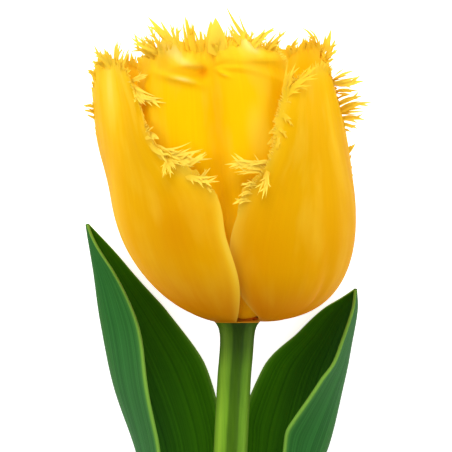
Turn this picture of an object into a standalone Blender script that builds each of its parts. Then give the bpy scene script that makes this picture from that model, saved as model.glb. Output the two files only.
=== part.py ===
"""A cut fringed tulip lying on a table.

Six fringed tepals in two whorls, six stamens, a pistil, a stem and two
clasping leaves.  The part frame has +Z up from the table and +Y along the
stem towards the bloom.  Sizes are in millimetres and angles in degrees
wherever a value is named; meshes are written in metres.

The bloom is modelled in a frame of its own: its axis is +Z, azimuth 0 looks
up from the table (-Y of that frame) and azimuth 90 is +X.
"""

import math

import bpy
import numpy as np
from mathutils import Matrix, Vector

MM = 0.001

# Where the bloom sits and how it lies
BLOOM_BASE = (3.5, 70.9, 27.2)  # middle of the receptacle, in the part frame
BLOOM_LEAN = 5.0  # turn of the bloom's axis towards -X
BLOOM_PITCH = 4.0  # rise of the bloom's axis from the table

# The cup that all tepals follow
CUP_RADIUS = 30.4
CUP_FULL_HEIGHT = 32.0  # height at which the cup reaches its full radius
CUP_BELLY = 2.2  # exponents of the rounded bottom
CUP_FLOOR = 2.4
CUP_HEIGHT = 100.0
CUP_LIFT = 0.35  # clearance of the tepals' claws above the receptacle's shoulder
CUP_SWELL = 0.095  # extra fullness of the bottom on the +X side
SWELL_HEIGHT = 42.0
SWELL_FROM_CLAW = 0.1
CUP_SAG = 0.16  # slope by which the bowl hangs lower on the +X side
SAG_HEIGHT = 25.0
CLAW_RADIUS = 4.7  # where the tepals start

# Tepal sheets
CLAW_LAYER = 0.62  # share of a whorl's layer at the claw, where whorls draw together
WHORL_RISE = 0.3  # where along the tepal the full layer is reached
RUFFLE_FROM = 0.62  # where along the tepal its ruffle starts
TEPAL_THICKNESS = 0.7
GRID_ACROSS = 10
GRID_ALONG = 14
GRID_EDGE = 0.9  # how far across and along the even grid reaches
GRID_TOP = 0.95
MARGIN_SIDE = 0.38  # share of the margin that each long side takes
MARGIN_SAMPLES = 600
NORMAL_STEP = 0.004
PLAIN_STEP = 5.0  # spacing of margin points without fringe
TOOTH_STEP = 1.35  # width of a fringe tooth at its root
TUFT_TEETH = 5  # teeth that fan out together from one lobe of the margin
TUFT_FAN = 24.0  # lean of a tuft's outer teeth
TUFT_SIZES = (0.6, 1.5)
FRINGE_FADE = 6.0  # teeth over which the fringe grows from nothing
LOBE_HEIGHT = 1.5

# Stem
STEM_LENGTH = 220.0
STEM_RADIUS = 4.2
STEM_TOP_RADIUS = 5.3
STEM_END_HEIGHT = 4.3
STEM_FLARE = 1.6  # length over which the widening under the bloom fades
STEM_BEND = 14.0  # length over which the stem turns into the bloom's axis
STEM_SIDE_SLOPE = 0.057  # the stem's aside drift under the bloom
STEM_SIDE_CURVE = 0.000143  # and how fast it straightens, per mm
STEM_END_SWELL = 0.25  # extra radius at the cut end
STEM_RINGS = 20
STEM_SIDES = 14
RECEPTACLE_RADIUS = 4.2
RECEPTACLE_HEIGHT = 3.7

# Stamens and pistil
STAMEN_COUNT = 6
STAMEN_CIRCLE = 3.25
FILAMENT_LENGTH = 12.0
FILAMENT_RADIUS = 0.62
ANTHER_LENGTH = 11.0
ANTHER_RADIUS = 1.35
STAMEN_SPREAD = 9.0
OVARY_LENGTH = 19.0
OVARY_RADIUS = 2.1
STIGMA_RADIUS = 4.0
SEAT_GAP = 0.3  # gap between a piece and what it is seated on

# Leaves
LEAF_THICKNESS = 1.0
LEAF_ALONG = 24
LEAF_ACROSS = 10

STATIONS = (0.0, 0.15, 0.3, 0.45, 0.6, 0.75, 0.9, 1.0)

# One entry for each tepal.  Half angles and margin lifts are given at STATIONS
# along the tepal, from its claw to its tip.
TEPALS = {
    "tepal_outer_left": dict(
        azimuth=-58, length=80, layer=0.0, round=0.05, fringe_from=0.59, seed=11,
        left=(58, 57, 58, 57, 50, 42, 34, 22), right=(56, 60, 61, 56.5, 52.5, 28, 20.5, 16),
        lift_left=(0, 0, 0, 0.2, 0.5, 1.5, 2.5, 2.5), lift_right=(0, 0, 0.4, 0.5, 1.5, 1.8, 1.5, 1.8),
        ruffle=0.5, crease=-0.5, tooth=4.6, tilt=(4, 24),
    ),
    "tepal_outer_right": dict(
        azimuth=58, length=76, layer=0.0, round=0.06, fringe_from=0.58, seed=23,
        left=(10, 42, 57.5, 58.5, 51, 37, 32, 27), right=(58, 57, 58, 56, 49, 42, 35.7, 26.7),
        lift_left=(-0.3, -0.8, -1.2, -1.2, 0.6, 1.7, 2.0, 2.0),
        lift_right=(0, 0, 0, 0.2, 0.6, 1.5, 2.95, 3.3),
        ruffle=0.5, crease=-0.5, tooth=4.6, tilt=(4, 24),
    ),
    "tepal_outer_back": dict(
        azimuth=180, length=83, layer=0.0, round=0.06, fringe_from=0.62, seed=31,
        left=(58, 58, 58, 56, 50, 43, 38, 31), right=(58, 58, 58, 56, 50, 43, 38, 31),
        lift_left=(0, 0, 0, 0.2, 0.6, 1.0, 1.0, 1.0), lift_right=(0, 0, 0, 0.2, 0.6, 1.0, 1.0, 1.0),
        ruffle=0.4, crease=0.4, tooth=5.0, tilt=(0, 14),
    ),
    "tepal_inner_front": dict(
        azimuth=-5, length=83, layer=-2.9, round=0.02, fringe_from=0.92, seed=47,
        left=(42, 44, 46, 48, 50, 50, 41, 34), right=(42, 44, 46, 48, 48, 48, 46, 41),
        lift_left=(0, 0, 0, 0, 0, 0, 0.0, 2.6), lift_right=(0, 0, 0, 0, 0, 0, 0.0, 2.4),
        ruffle=2.2, crease=1.2, tooth=6.2, tilt=(0, 28),
    ),
    "tepal_inner_back_left": dict(
        azimuth=-126, length=80, layer=-2.9, round=0.09, fringe_from=0.62, seed=53,
        left=(42, 44, 48, 50, 48, 42, 34, 24), right=(42, 44, 46, 48, 47, 42, 34, 24),
        lift_left=(0, 0, 0, 0, 0, 0.1, 0.1, 0.1), lift_right=(0, 0, 0, 0, 0, 0.1, 0.1, 0.1),
        ruffle=0.2, crease=0.5, tooth=4.6, tilt=(-18, -4),
    ),
    "tepal_inner_back_right": dict(
        azimuth=114, length=80.5, layer=-2.9, round=0.09, fringe_from=0.62, seed=61,
        left=(42, 44, 48, 50, 48, 44, 38, 28), right=(42, 44, 46, 48, 47, 42, 34, 24),
        lift_left=(0, 0, 0, 0, 0, 0.1, 0.1, 0.1), lift_right=(0, 0, 0, 0, 0, 0.1, 0.1, 0.1),
        ruffle=0.2, crease=0.5, tooth=4.6, tilt=(-18, -4),
    ),
}

# One entry for each leaf.  Each row is a station from the base to the tip:
# keel x and y from the bloom's base, keel height, half width, the directions
# of the section at its far and near margins, and how sharply it folds.
LEAVES = {
    "leaf_left": dict(
        side=-1,
        rows=(
            (-10.7, -118.0, 17.0, 13.0, 215, -35, 0.3),
            (-10.6, -106.0, 18.2, 14.5, 205, -25, 0.3),
            (-12.4, -91.0, 19.5, 14.5, 184, 0, 0.5),
            (-14.6, -77.0, 16.0, 16.8, 188, 34, 0.8),
            (-17.6, -62.0, 10.5, 18.7, 190, 52, 1.2),
            (-20.8, -47.0, 6.6, 19.4, 187, 62, 1.8),
            (-24.4, -32.0, 5.0, 23.0, 182, 66, 3.0),
            (-30.5, -15.5, 4.5, 23.9, 179, 60, 3.6),
            (-34.3, 0.5, 4.5, 17.4, 178, 47, 3.6),
            (-36.3, 13.5, 5.5, 8.8, 177, 42, 3.0),
            (-38.2, 24.7, 7.5, 0.9, 176, 60, 2.0),
        ),
    ),
    "leaf_right": dict(
        side=1,
        rows=(
            (1.7, -92.0, 19.5, 9.0, 180, 0, 0.3),
            (3.8, -80.0, 20.1, 12.0, 182, 12, 0.5),
            (6.9, -70.0, 17.4, 14.5, 187, 34, 0.8),
            (11.4, -58.0, 11.6, 17.5, 188, 50, 1.2),
            (15.6, -46.0, 7.6, 17.7, 186, 56, 1.8),
            (22.3, -32.2, 5.2, 24.2, 181, 50, 3.0),
            (26.1, -15.5, 4.4, 20.9, 179, 66, 3.6),
            (28.2, -5.5, 5.0, 13.7, 178, 71, 3.4),
            (30.0, 3.0, 5.8, 7.4, 177, 72, 3.0),
            (30.3, 8.4, 7.0, 0.7, 176, 70, 2.0),
        ),
    ),
}

YELLOW = (0.95, 0.62, 0.02)
DEEP_YELLOW = (0.93, 0.55, 0.02)
STEM_GREEN = (0.16, 0.32, 0.04)
LEAF_GREEN = (0.04, 0.14, 0.03)
FILAMENT_YELLOW = (0.85, 0.68, 0.15)
ANTHER_OCHRE = (0.42, 0.22, 0.03)
OVARY_GREEN = (0.45, 0.55, 0.18)
STIGMA_CREAM = (0.85, 0.75, 0.35)


def clear_scene():
    for obj in list(bpy.data.objects):
        bpy.data.objects.remove(obj)


def material(name, colour, roughness):
    """A Principled finish, made once for each name."""
    found = bpy.data.materials.get(name) or bpy.data.materials.new(name)
    found.use_nodes = True
    shader = found.node_tree.nodes["Principled BSDF"]
    shader.inputs["Base Color"].default_value = (*colour, 1.0)
    shader.inputs["Roughness"].default_value = roughness
    shader.inputs["Metallic"].default_value = 0.0
    return found


def mesh_object(name, points, faces, finish, parent=None):
    """A named object from points in millimetres."""
    mesh = bpy.data.meshes.new(name)
    mesh.from_pydata([tuple(p) for p in np.asarray(points) * MM], [], faces)
    mesh.materials.append(finish)
    mesh.shade_smooth()
    obj = bpy.data.objects.new(name, mesh)
    bpy.context.scene.collection.objects.link(obj)
    obj.parent = parent
    return obj


def thicken(obj, thickness):
    """Gives a sheet its thickness on the side away from its normals."""
    solid = obj.modifiers.new("thickness", "SOLIDIFY")
    solid.thickness = thickness * MM
    solid.offset = -1.0
    solid.use_even_offset = False


def smooth(x, stations, values):
    """A smooth curve through values at stations: cubic pieces whose slopes at
    each station are the mean slopes across it."""
    stations, values = np.asarray(stations, float), np.asarray(values, float)
    slopes = np.gradient(values, stations)
    i = np.clip(np.searchsorted(stations, x, side="right") - 1, 0, len(stations) - 2)
    span = stations[i + 1] - stations[i]
    t = np.clip((x - stations[i]) / span, 0.0, 1.0)
    return (
        (2 * t**3 - 3 * t**2 + 1) * values[i]
        + (t**3 - 2 * t**2 + t) * span * slopes[i]
        + (3 * t**2 - 2 * t**3) * values[i + 1]
        + (t**3 - t**2) * span * slopes[i + 1]
    )


def unit(v):
    return v / np.maximum(np.linalg.norm(v, axis=-1, keepdims=True), 1e-9)


def cup_profile():
    """The cup's outline as (distance along it, radius, height, outward normal).
    Its bottom is a rounded bowl and its wall goes straight up."""
    low = CUP_FULL_HEIGHT * np.linspace(0.0, 1.0, 400) ** 2
    z = np.concatenate([low, np.linspace(CUP_FULL_HEIGHT, CUP_HEIGHT, 60)[1:]])
    rise = 1.0 - np.clip(z / CUP_FULL_HEIGHT, 0.0, 1.0)
    r = CUP_RADIUS * (1.0 - rise**CUP_BELLY) ** (1.0 / CUP_FLOOR)
    keep = r >= CLAW_RADIUS
    r, z = r[keep], z[keep]
    along = np.concatenate([[0.0], np.cumsum(np.hypot(np.diff(r), np.diff(z)))])
    normal = unit(np.stack([np.gradient(z, along), -np.gradient(r, along)], -1))
    return along, r, z + CUP_LIFT, normal


CUP = cup_profile()


def tepal_point(tepal, u, v):
    """Outer face of a tepal.  u runs from -1 to 1 across it and v from 0 at
    the claw to 1 at the top edge.  The point lies on the cup at distance
    length * v * (1 - round * v^4 * u^2), at an azimuth u half widths from the
    middle.  It stands off the cup by its layer, plus u^2 times the lift of
    that margin, minus a crease exp(-(6u)^2) along the middle, minus a ruffle
    cos(2 pi u) that grows towards the top.  The bowl sags by a slope towards
    +X that fades at the claw and up the wall."""
    along, radius, height, normal = CUP
    left, right = (smooth(v, STATIONS, tepal[side]) for side in ("left", "right"))
    lift = np.where(
        u < 0,
        smooth(v, STATIONS, tepal["lift_left"]),
        smooth(v, STATIONS, tepal["lift_right"]),
    )
    distance = tepal["length"] * v * (1.0 - tepal["round"] * v**4 * u**2)
    azimuth = np.radians(
        tepal["azimuth"] + (left + right) / 2 * u + (right - left) / 2 * u**2
    )
    layer = tepal["layer"] * (CLAW_LAYER + (1.0 - CLAW_LAYER) * np.clip(v / WHORL_RISE, 0.0, 1.0))
    crease = tepal["crease"] * np.exp(-((6.0 * u) ** 2)) * np.sin(math.pi * np.clip(v, 0.0, 0.9))
    waved = np.clip((v - RUFFLE_FROM) / (1.0 - RUFFLE_FROM), 0.0, 1.0) ** 1.5
    ruffle = tepal["ruffle"] * np.cos(2 * math.pi * u) * waved
    off = layer + lift * u**2 - crease - ruffle
    r = np.interp(distance, along, radius) + off * np.interp(distance, along, normal[:, 0])
    z = np.interp(distance, along, height) + off * np.interp(distance, along, normal[:, 1])
    swell = CUP_SWELL * np.exp(-((z / SWELL_HEIGHT) ** 2)) * np.clip(v / SWELL_FROM_CLAW, 0.0, 1.0)
    r = r * (1.0 + swell * np.sin(azimuth))
    x = r * np.sin(azimuth)
    clear_of_claw = 1.0 - (CLAW_RADIUS / np.maximum(r, CLAW_RADIUS)) ** 2
    sag = CUP_SAG * np.exp(-((z / SAG_HEIGHT) ** 2)) * clear_of_claw
    return np.stack([x, -r * np.cos(azimuth), z - sag * x], -1)


def tepal_normal(tepal, u, v):
    """Outward direction of the sheet at (u, v), from small steps along it."""
    step = NORMAL_STEP
    across = tepal_point(tepal, u + step, v) - tepal_point(tepal, u - step, v)
    up = tepal_point(tepal, u, np.clip(v + step, 0, 1)) - tepal_point(tepal, u, np.clip(v - step, 0, 1))
    return unit(np.cross(across, up))


def margin_uv(m):
    """The margin as one line: m goes from 0 at the claw's left corner, up the
    left side, over the top edge and down the right side to 1."""
    top = np.clip((m - MARGIN_SIDE) / (1.0 - 2.0 * MARGIN_SIDE), 0.0, 1.0)
    u = 2.0 * top - 1.0
    v = np.clip(np.minimum(m, 1.0 - m) / MARGIN_SIDE, 0.0, 1.0)
    return u, v


def margin_marks(tepal):
    """Places along the margin: wide steps where it is plain, and steps of one
    tooth where it is fringed."""
    m = np.linspace(0.0, 1.0, MARGIN_SAMPLES)
    u, v = margin_uv(m)
    line = tepal_point(tepal, u, v)
    along = np.concatenate([[0.0], np.cumsum(np.linalg.norm(np.diff(line, axis=0), axis=1))])
    fringed = np.nonzero(v >= tepal["fringe_from"])[0]
    first, last = along[fringed[0]], along[fringed[-1]]
    teeth = int(round((last - first) / TOOTH_STEP / TUFT_TEETH)) * TUFT_TEETH
    plain = [
        np.linspace(0.0, first, int(first / PLAIN_STEP) + 1)[:-1],
        np.linspace(last, along[-1], int((along[-1] - last) / PLAIN_STEP) + 1)[1:],
    ]
    marks = np.concatenate([plain[0], np.linspace(first, last, teeth + 1), plain[1]])
    return np.interp(marks, along, m), len(plain[0]), teeth


def tuft_sizes(rng, teeth):
    """A size for each tooth's tuft, and the tooth's place in it from -1 to 1.
    Tufts fade out at both ends of the fringe."""
    tufts = teeth // TUFT_TEETH
    size = np.repeat(rng.uniform(*TUFT_SIZES, tufts), TUFT_TEETH)
    place = np.tile(np.linspace(-1.0, 1.0, TUFT_TEETH), tufts)
    number = np.arange(teeth)
    fade = np.clip(np.minimum(number + 1, teeth - number) / FRINGE_FADE, 0.3, 1.0)
    return size * fade, place


def lobed(line, outward, size, first, teeth):
    """The margin's line with a low round lobe under each tuft."""
    mark = np.arange(teeth + 1)
    at_mark = np.concatenate([size, size[-1:]])
    bump = LOBE_HEIGHT * at_mark * np.abs(np.sin(math.pi * mark / TUFT_TEETH))
    raised = line.copy()
    raised[first : first + teeth + 1] += outward[first : first + teeth + 1] * bump[:, None]
    return raised


def tooth_tips(tepal, line, outward, normal, first, size, place, rng):
    """Tips of the fringe.  Teeth fan out in tufts: the middle tooth of a tuft
    is the longest and stands straight, the outer ones are short and lean away
    from it.  Each tuft has its own length and its own tilt off the sheet."""
    teeth = len(size)
    low, high = np.radians(tepal["tilt"])
    tilt = np.repeat(rng.uniform(low, high, teeth // TUFT_TEETH), TUFT_TEETH)
    length = tepal["tooth"] * size * (1.0 - 0.62 * np.abs(place)) * rng.uniform(0.8, 1.2, teeth)
    lean = np.radians(TUFT_FAN) * place
    here, after = slice(first, first + teeth), slice(first + 1, first + teeth + 1)
    base = (line[here] + line[after]) / 2
    along = unit(line[after] - line[here])
    out = unit(outward[here] + outward[after])
    face = unit(normal[here] + normal[after])
    way = (
        out * (np.cos(lean) * np.cos(tilt))[:, None]
        + along * (np.sin(lean) * np.cos(tilt))[:, None]
        + face * np.sin(tilt)[:, None]
    )
    return base + way * length[:, None]


def zip_rings(inner, inner_at, outer, outer_at):
    """Triangles between two lines of points that run side by side; the line
    whose next point comes first takes the next step."""
    faces, i, j = [], 0, 0
    while i < len(inner) - 1 or j < len(outer) - 1:
        step_inner = j == len(outer) - 1 or (
            i < len(inner) - 1 and inner_at[i + 1] <= outer_at[j + 1]
        )
        if step_inner:
            faces.append((inner[i], outer[j], inner[i + 1]))
            i += 1
        else:
            faces.append((inner[i], outer[j], outer[j + 1]))
            j += 1
    return faces


def grid_faces(rows, columns):
    """Triangles of a grid of points, numbered row by row."""
    faces = []
    for row in range(rows):
        for column in range(columns):
            a = row * (columns + 1) + column
            b, c, d = a + 1, a + columns + 2, a + columns + 1
            faces += [(a, b, c), (a, c, d)]
    return faces


def tepal_sheet(tepal):
    """Points and triangles of a tepal's outer face: an even grid, a strip to
    the margin and one triangle for each tooth."""
    v, u = np.meshgrid(
        np.linspace(0.0, GRID_TOP, GRID_ALONG + 1),
        np.linspace(-GRID_EDGE, GRID_EDGE, GRID_ACROSS + 1),
        indexing="ij",
    )
    faces = grid_faces(GRID_ALONG, GRID_ACROSS)
    wide = GRID_ACROSS + 1
    ring = (
        [row * wide for row in range(GRID_ALONG + 1)]
        + [GRID_ALONG * wide + column for column in range(1, GRID_ACROSS)]
        + [row * wide + GRID_ACROSS for row in range(GRID_ALONG, -1, -1)]
    )
    side = np.linspace(0.0, MARGIN_SIDE, GRID_ALONG + 1)
    top = np.linspace(MARGIN_SIDE, 1.0 - MARGIN_SIDE, GRID_ACROSS + 1)[1:-1]
    ring_at = np.concatenate([side, top, 1.0 - side[::-1]])
    marks, first, teeth = margin_marks(tepal)
    edge_u, edge_v = margin_uv(marks)
    line = tepal_point(tepal, edge_u, edge_v)
    face_out = tepal_normal(tepal, edge_u * 0.99, np.minimum(edge_v, 0.99))
    outward = unit(np.cross(face_out, np.gradient(line, axis=0)))
    rng = np.random.default_rng(tepal["seed"])
    size, place = tuft_sizes(rng, teeth)
    line = lobed(line, outward, size, first, teeth)
    tips = tooth_tips(tepal, line, outward, face_out, first, size, place, rng)
    points = np.concatenate([tepal_point(tepal, u, v).reshape(-1, 3), line, tips])
    edge = list(range(wide * (GRID_ALONG + 1), wide * (GRID_ALONG + 1) + len(marks)))
    faces += [face[::-1] for face in zip_rings(ring, ring_at, edge, marks)]
    tip = edge[-1] + 1
    faces += [(edge[first + k], edge[first + k + 1], tip + k) for k in range(teeth)]
    return points, faces


def bloom_frame():
    """The empty that lays the bloom down: its axis turned to lie along +Y,
    then pitched up and leaned aside."""
    frame = bpy.data.objects.new("bloom_frame", None)
    bpy.context.scene.collection.objects.link(frame)
    turn = Matrix.Rotation(math.radians(BLOOM_LEAN), 4, "Z") @ Matrix.Rotation(
        math.radians(BLOOM_PITCH - 90.0), 4, "X"
    )
    frame.matrix_world = Matrix.Translation(Vector(BLOOM_BASE) * MM) @ turn
    return frame


def press_on_table(points, frame):
    """Bloom points moved up to the table where they would pass below it."""
    to_part = np.array(frame.matrix_world)
    turn, shift = to_part[:3, :3], to_part[:3, 3] / MM
    placed = points @ turn.T + shift
    placed[:, 2] = np.maximum(placed[:, 2], 0.0)
    return (placed - shift) @ turn


def make_tepal(name, tepal, frame):
    points, faces = tepal_sheet(tepal)
    colour = YELLOW if "outer" in name else DEEP_YELLOW
    obj = mesh_object(
        name, press_on_table(points, frame), faces, material(name.rsplit("_", 1)[0], colour, 0.5), frame
    )
    thicken(obj, TEPAL_THICKNESS)
    return obj


def lofted(name, centres, sections, finish, parent=None, reference=(1.0, 0.0, 0.0)):
    """A closed body through rings.  Each ring stands square to the line of
    centres, and sections holds its points as (along the reference, aside)."""
    centres, sections = np.asarray(centres, float), np.asarray(sections, float)
    tangent = unit(np.gradient(centres, axis=0))
    second = unit(np.cross(tangent, np.asarray(reference, float)))
    first = np.cross(second, tangent)
    points = (
        centres[:, None]
        + sections[..., 0:1] * first[:, None]
        + sections[..., 1:2] * second[:, None]
    )
    rings, sides = sections.shape[:2]
    faces = []
    for ring in range(rings - 1):
        for k in range(sides):
            a, b = ring * sides + k, ring * sides + (k + 1) % sides
            faces.append((a, b, b + sides, a + sides))
    faces.append(tuple(range(sides))[::-1])
    faces.append(tuple(range((rings - 1) * sides, rings * sides)))
    return mesh_object(name, points.reshape(-1, 3), faces, finish, parent)


def circles(radii, sides, wide=1.0, lobes=0, depth=0.0):
    """Rings of the given radii, widened one way and waved by lobes."""
    angle = np.linspace(0.0, 2 * math.pi, sides, endpoint=False)
    shape = 1.0 + depth * np.cos(lobes * angle)
    ring = np.stack([wide * np.cos(angle) * shape, np.sin(angle) * shape], -1)
    return np.asarray(radii, float)[:, None, None] * ring


def stem_centre(distance):
    """Middle of the stem at a distance below the bloom: it leaves along the
    bloom's axis and sinks, a little faster further on, to the table."""
    distance = np.asarray(distance, float)
    slope = math.tan(math.radians(BLOOM_PITCH))
    drop = BLOOM_BASE[2] - STEM_END_HEIGHT
    bend = (drop - slope * STEM_LENGTH) / STEM_LENGTH**2
    return np.stack(
        [
            BLOOM_BASE[0] - STEM_SIDE_SLOPE * distance + STEM_SIDE_CURVE * distance**2,
            BLOOM_BASE[1] - distance,
            BLOOM_BASE[2] - slope * distance - bend * distance**2,
        ],
        -1,
    )


def make_stem(frame):
    """The stem with its receptacle: a tube that turns into the bloom's axis
    and widens under the bloom by exp(-distance / STEM_FLARE), with a short
    stub for the whorls to sit round."""
    top = np.array([9.5, 7.0, 5.0, 3.4, 2.2, 1.2, 0.5, 0.0])
    distance = np.concatenate([np.linspace(STEM_LENGTH, STEM_BEND, STEM_RINGS), top])
    axis = np.array(frame.matrix_world)[:3, 2]
    share = np.clip(1.0 - distance / STEM_BEND, 0.0, 1.0)[:, None]
    turned = share**2 * (3.0 - 2.0 * share)
    straight = stem_centre(0.0) - axis * distance[:, None]
    centres = (1.0 - turned) * stem_centre(distance) + turned * straight
    radii = STEM_RADIUS + STEM_END_SWELL * distance / STEM_LENGTH
    radii += (STEM_TOP_RADIUS - STEM_RADIUS) * np.exp(-distance / STEM_FLARE)
    rise = np.array([0.04, RECEPTACLE_HEIGHT - 0.5, RECEPTACLE_HEIGHT])
    centres = np.concatenate([centres, stem_centre(0.0) + axis * rise[:, None]])
    radii = np.concatenate([radii, [RECEPTACLE_RADIUS, RECEPTACLE_RADIUS, RECEPTACLE_RADIUS - 0.5]])
    finish = material("stem", STEM_GREEN, 0.45)
    return lofted("stem", centres, circles(radii, STEM_SIDES), finish)


def make_stamen(index, frame):
    """A filament that leans outwards, and the anther standing on its tip."""
    azimuth = math.radians(30 + 360 * index / STAMEN_COUNT)
    away = np.array([math.sin(azimuth), -math.cos(azimuth), 0.0])
    lean = math.radians(STAMEN_SPREAD)
    way = away * math.sin(lean) + np.array([0.0, 0.0, math.cos(lean)])
    foot = away * STAMEN_CIRCLE + np.array([0.0, 0.0, RECEPTACLE_HEIGHT + SEAT_GAP])
    share = np.linspace(0.0, 1.0, 4)
    filament = foot + way * (FILAMENT_LENGTH * share)[:, None]
    radii = FILAMENT_RADIUS * np.array([1.0, 0.95, 0.8, 0.5])
    across = np.cross(away, (0.0, 0.0, 1.0))
    lofted(
        f"filament_{index + 1}", filament, circles(radii, 7), material("filament", FILAMENT_YELLOW, 0.5),
        frame, across,
    )
    share = np.linspace(0.0, 1.0, 7)
    start = filament[-1] + way * SEAT_GAP
    anther = start + way * (ANTHER_LENGTH * share)[:, None]
    radii = ANTHER_RADIUS * np.array([0.4, 0.85, 1.0, 1.0, 0.95, 0.75, 0.25])
    lofted(
        f"anther_{index + 1}", anther, circles(radii, 10, wide=0.8, lobes=2, depth=-0.16),
        material("anther", ANTHER_OCHRE, 0.8), frame, away,
    )


def make_pistil(frame):
    """A three-sided ovary with a three-lobed stigma on its top."""
    share = np.linspace(0.0, 1.0, 9)
    foot = np.array([0.0, 0.0, RECEPTACLE_HEIGHT + SEAT_GAP])
    up = np.array([0.0, 0.0, 1.0])
    radii = OVARY_RADIUS * np.array([0.75, 0.95, 1.0, 1.02, 1.0, 0.95, 0.88, 0.8, 0.85])
    lofted(
        "ovary", foot + up * (OVARY_LENGTH * share)[:, None],
        circles(radii, 12, lobes=3, depth=0.1), material("ovary", OVARY_GREEN, 0.5), frame,
    )
    seat = foot + up * (OVARY_LENGTH + SEAT_GAP)
    rise = np.array([0.0, 0.9, 1.8, 2.5, 2.9])
    radii = STIGMA_RADIUS * np.array([0.45, 0.8, 1.0, 0.8, 0.35])
    lofted(
        "stigma", seat + up * rise[:, None], circles(radii, 24, lobes=3, depth=0.32),
        material("stigma", STIGMA_CREAM, 0.6), frame,
    )


def leaf_sheet(leaf):
    """Points of a leaf's outer face.  At each station the section starts at
    the far margin under the stem, turns past the keel and ends at the near
    margin above it.  Its direction there is the mean of the two margins'
    directions, less half their difference times tanh(fold s) / tanh(fold),
    where s goes from -1 at the far margin to 1 at the near one."""
    rows = np.asarray(leaf["rows"], float)
    stations = np.linspace(0.0, 1.0, len(rows))
    t = np.linspace(0.0, 1.0, LEAF_ALONG + 1)
    keel = np.stack([smooth(t, stations, rows[:, k]) for k in range(3)], -1)
    half_width, far, near, fold = (smooth(t, stations, rows[:, k])[:, None] for k in (3, 4, 5, 6))
    keel = keel + np.array([BLOOM_BASE[0], BLOOM_BASE[1], 0.0])
    tangent = unit(np.gradient(keel, axis=0))
    inward = np.array([-leaf["side"], 0.0, 0.0])
    aside = unit(inward - tangent * (tangent @ inward)[:, None])
    up = np.cross(tangent, aside) * leaf["side"]
    s = np.linspace(-1.0, 1.0, 8 * LEAF_ACROSS + 1)
    middle = (s[1:] + s[:-1]) / 2
    heading = np.radians((far + near) / 2 - (far - near) / 2 * np.tanh(fold * middle) / np.tanh(fold))
    start = np.zeros((len(t), 1))
    step = half_width * (s[1] - s[0])
    sideways = np.concatenate([start, np.cumsum(np.cos(heading) * step, axis=1)], axis=1)
    upwards = np.concatenate([start, np.cumsum(np.sin(heading) * step, axis=1)], axis=1)
    keel_at = 4 * LEAF_ACROSS
    sideways = (sideways - sideways[:, keel_at : keel_at + 1])[:, ::8]
    upwards = (upwards - upwards[:, keel_at : keel_at + 1])[:, ::8]
    points = keel[:, None] + sideways[..., None] * aside[:, None] + upwards[..., None] * up[:, None]
    points[..., 2] = np.maximum(points[..., 2], 0.0)
    return points.reshape(-1, 3)


def make_leaf(name, leaf):
    faces = grid_faces(LEAF_ALONG, LEAF_ACROSS)
    if leaf["side"] > 0:
        faces = [face[::-1] for face in faces]
    obj = mesh_object(name, leaf_sheet(leaf), faces, material("leaf", LEAF_GREEN, 0.4))
    thicken(obj, LEAF_THICKNESS)
    return obj


def main():
    clear_scene()
    frame = bloom_frame()
    bpy.context.view_layer.update()
    make_stem(frame)
    for name, tepal in TEPALS.items():
        make_tepal(name, tepal, frame)
    for index in range(STAMEN_COUNT):
        make_stamen(index, frame)
    make_pistil(frame)
    for name, leaf in LEAVES.items():
        make_leaf(name, leaf)


main()
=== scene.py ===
"""Looks of a cut fringed tulip lying on a table.

Shapes are worked out in millimetres in the part's own frame: +Z is up from
the table and +Y runs along the stem towards the bloom.  The bloom's pieces
are worked out in a frame of the bloom's own, whose axis is +Z, with azimuth 0
looking up from the table, and are laid down by one matrix.  Meshes are stored
in metres.
"""

import math

import bpy
import numpy as np
from mathutils import Matrix


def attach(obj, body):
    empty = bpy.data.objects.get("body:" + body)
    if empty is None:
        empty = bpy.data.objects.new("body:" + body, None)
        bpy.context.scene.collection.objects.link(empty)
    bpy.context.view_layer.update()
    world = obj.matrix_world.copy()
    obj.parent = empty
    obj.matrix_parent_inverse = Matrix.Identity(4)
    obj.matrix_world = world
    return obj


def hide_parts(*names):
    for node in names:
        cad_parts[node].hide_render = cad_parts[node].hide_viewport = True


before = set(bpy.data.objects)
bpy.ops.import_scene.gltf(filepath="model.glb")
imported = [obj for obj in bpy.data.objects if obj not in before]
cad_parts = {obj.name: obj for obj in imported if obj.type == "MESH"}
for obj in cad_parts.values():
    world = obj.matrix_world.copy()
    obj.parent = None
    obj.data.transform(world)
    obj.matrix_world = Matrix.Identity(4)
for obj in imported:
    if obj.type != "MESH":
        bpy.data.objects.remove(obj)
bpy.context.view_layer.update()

MM = 0.001

# ---------------------------------------------------------------------------
# Sizes of the flower, as in the part
# ---------------------------------------------------------------------------

BLOOM_BASE = np.array([3.5, 70.9, 27.2])  # middle of the receptacle
BLOOM_LEAN = 5.0  # turn of the bloom's axis towards -X
BLOOM_PITCH = 4.0  # rise of the bloom's axis from the table

CUP_RADIUS = 30.4
CUP_FULL_HEIGHT = 32.0  # height at which the cup reaches its full radius
CUP_BELLY = 2.2  # exponents of the rounded bottom
CUP_FLOOR = 2.4
CUP_HEIGHT = 100.0
CUP_LIFT = 0.35
CUP_SWELL = 0.095  # extra fullness of the bottom on the +X side
SWELL_HEIGHT = 42.0
SWELL_FROM_CLAW = 0.1
CUP_SAG = 0.16  # slope by which the bowl hangs lower on the +X side
SAG_HEIGHT = 25.0
CLAW_RADIUS = 4.7  # where the tepals start

CLAW_LAYER = 0.62  # share of a whorl's layer at the claw
WHORL_RISE = 0.3  # where along the tepal the full layer is reached
RUFFLE_FROM = 0.62  # where along the tepal its ruffle starts
MARGIN_SIDE = 0.38  # share of the margin that each long side takes
MARGIN_STEP = 0.0005  # between the places from which its direction is found
MARGIN_INSIDE = 0.985  # where the sheet's direction beside it is found
NORMAL_STEP = 0.004

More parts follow.
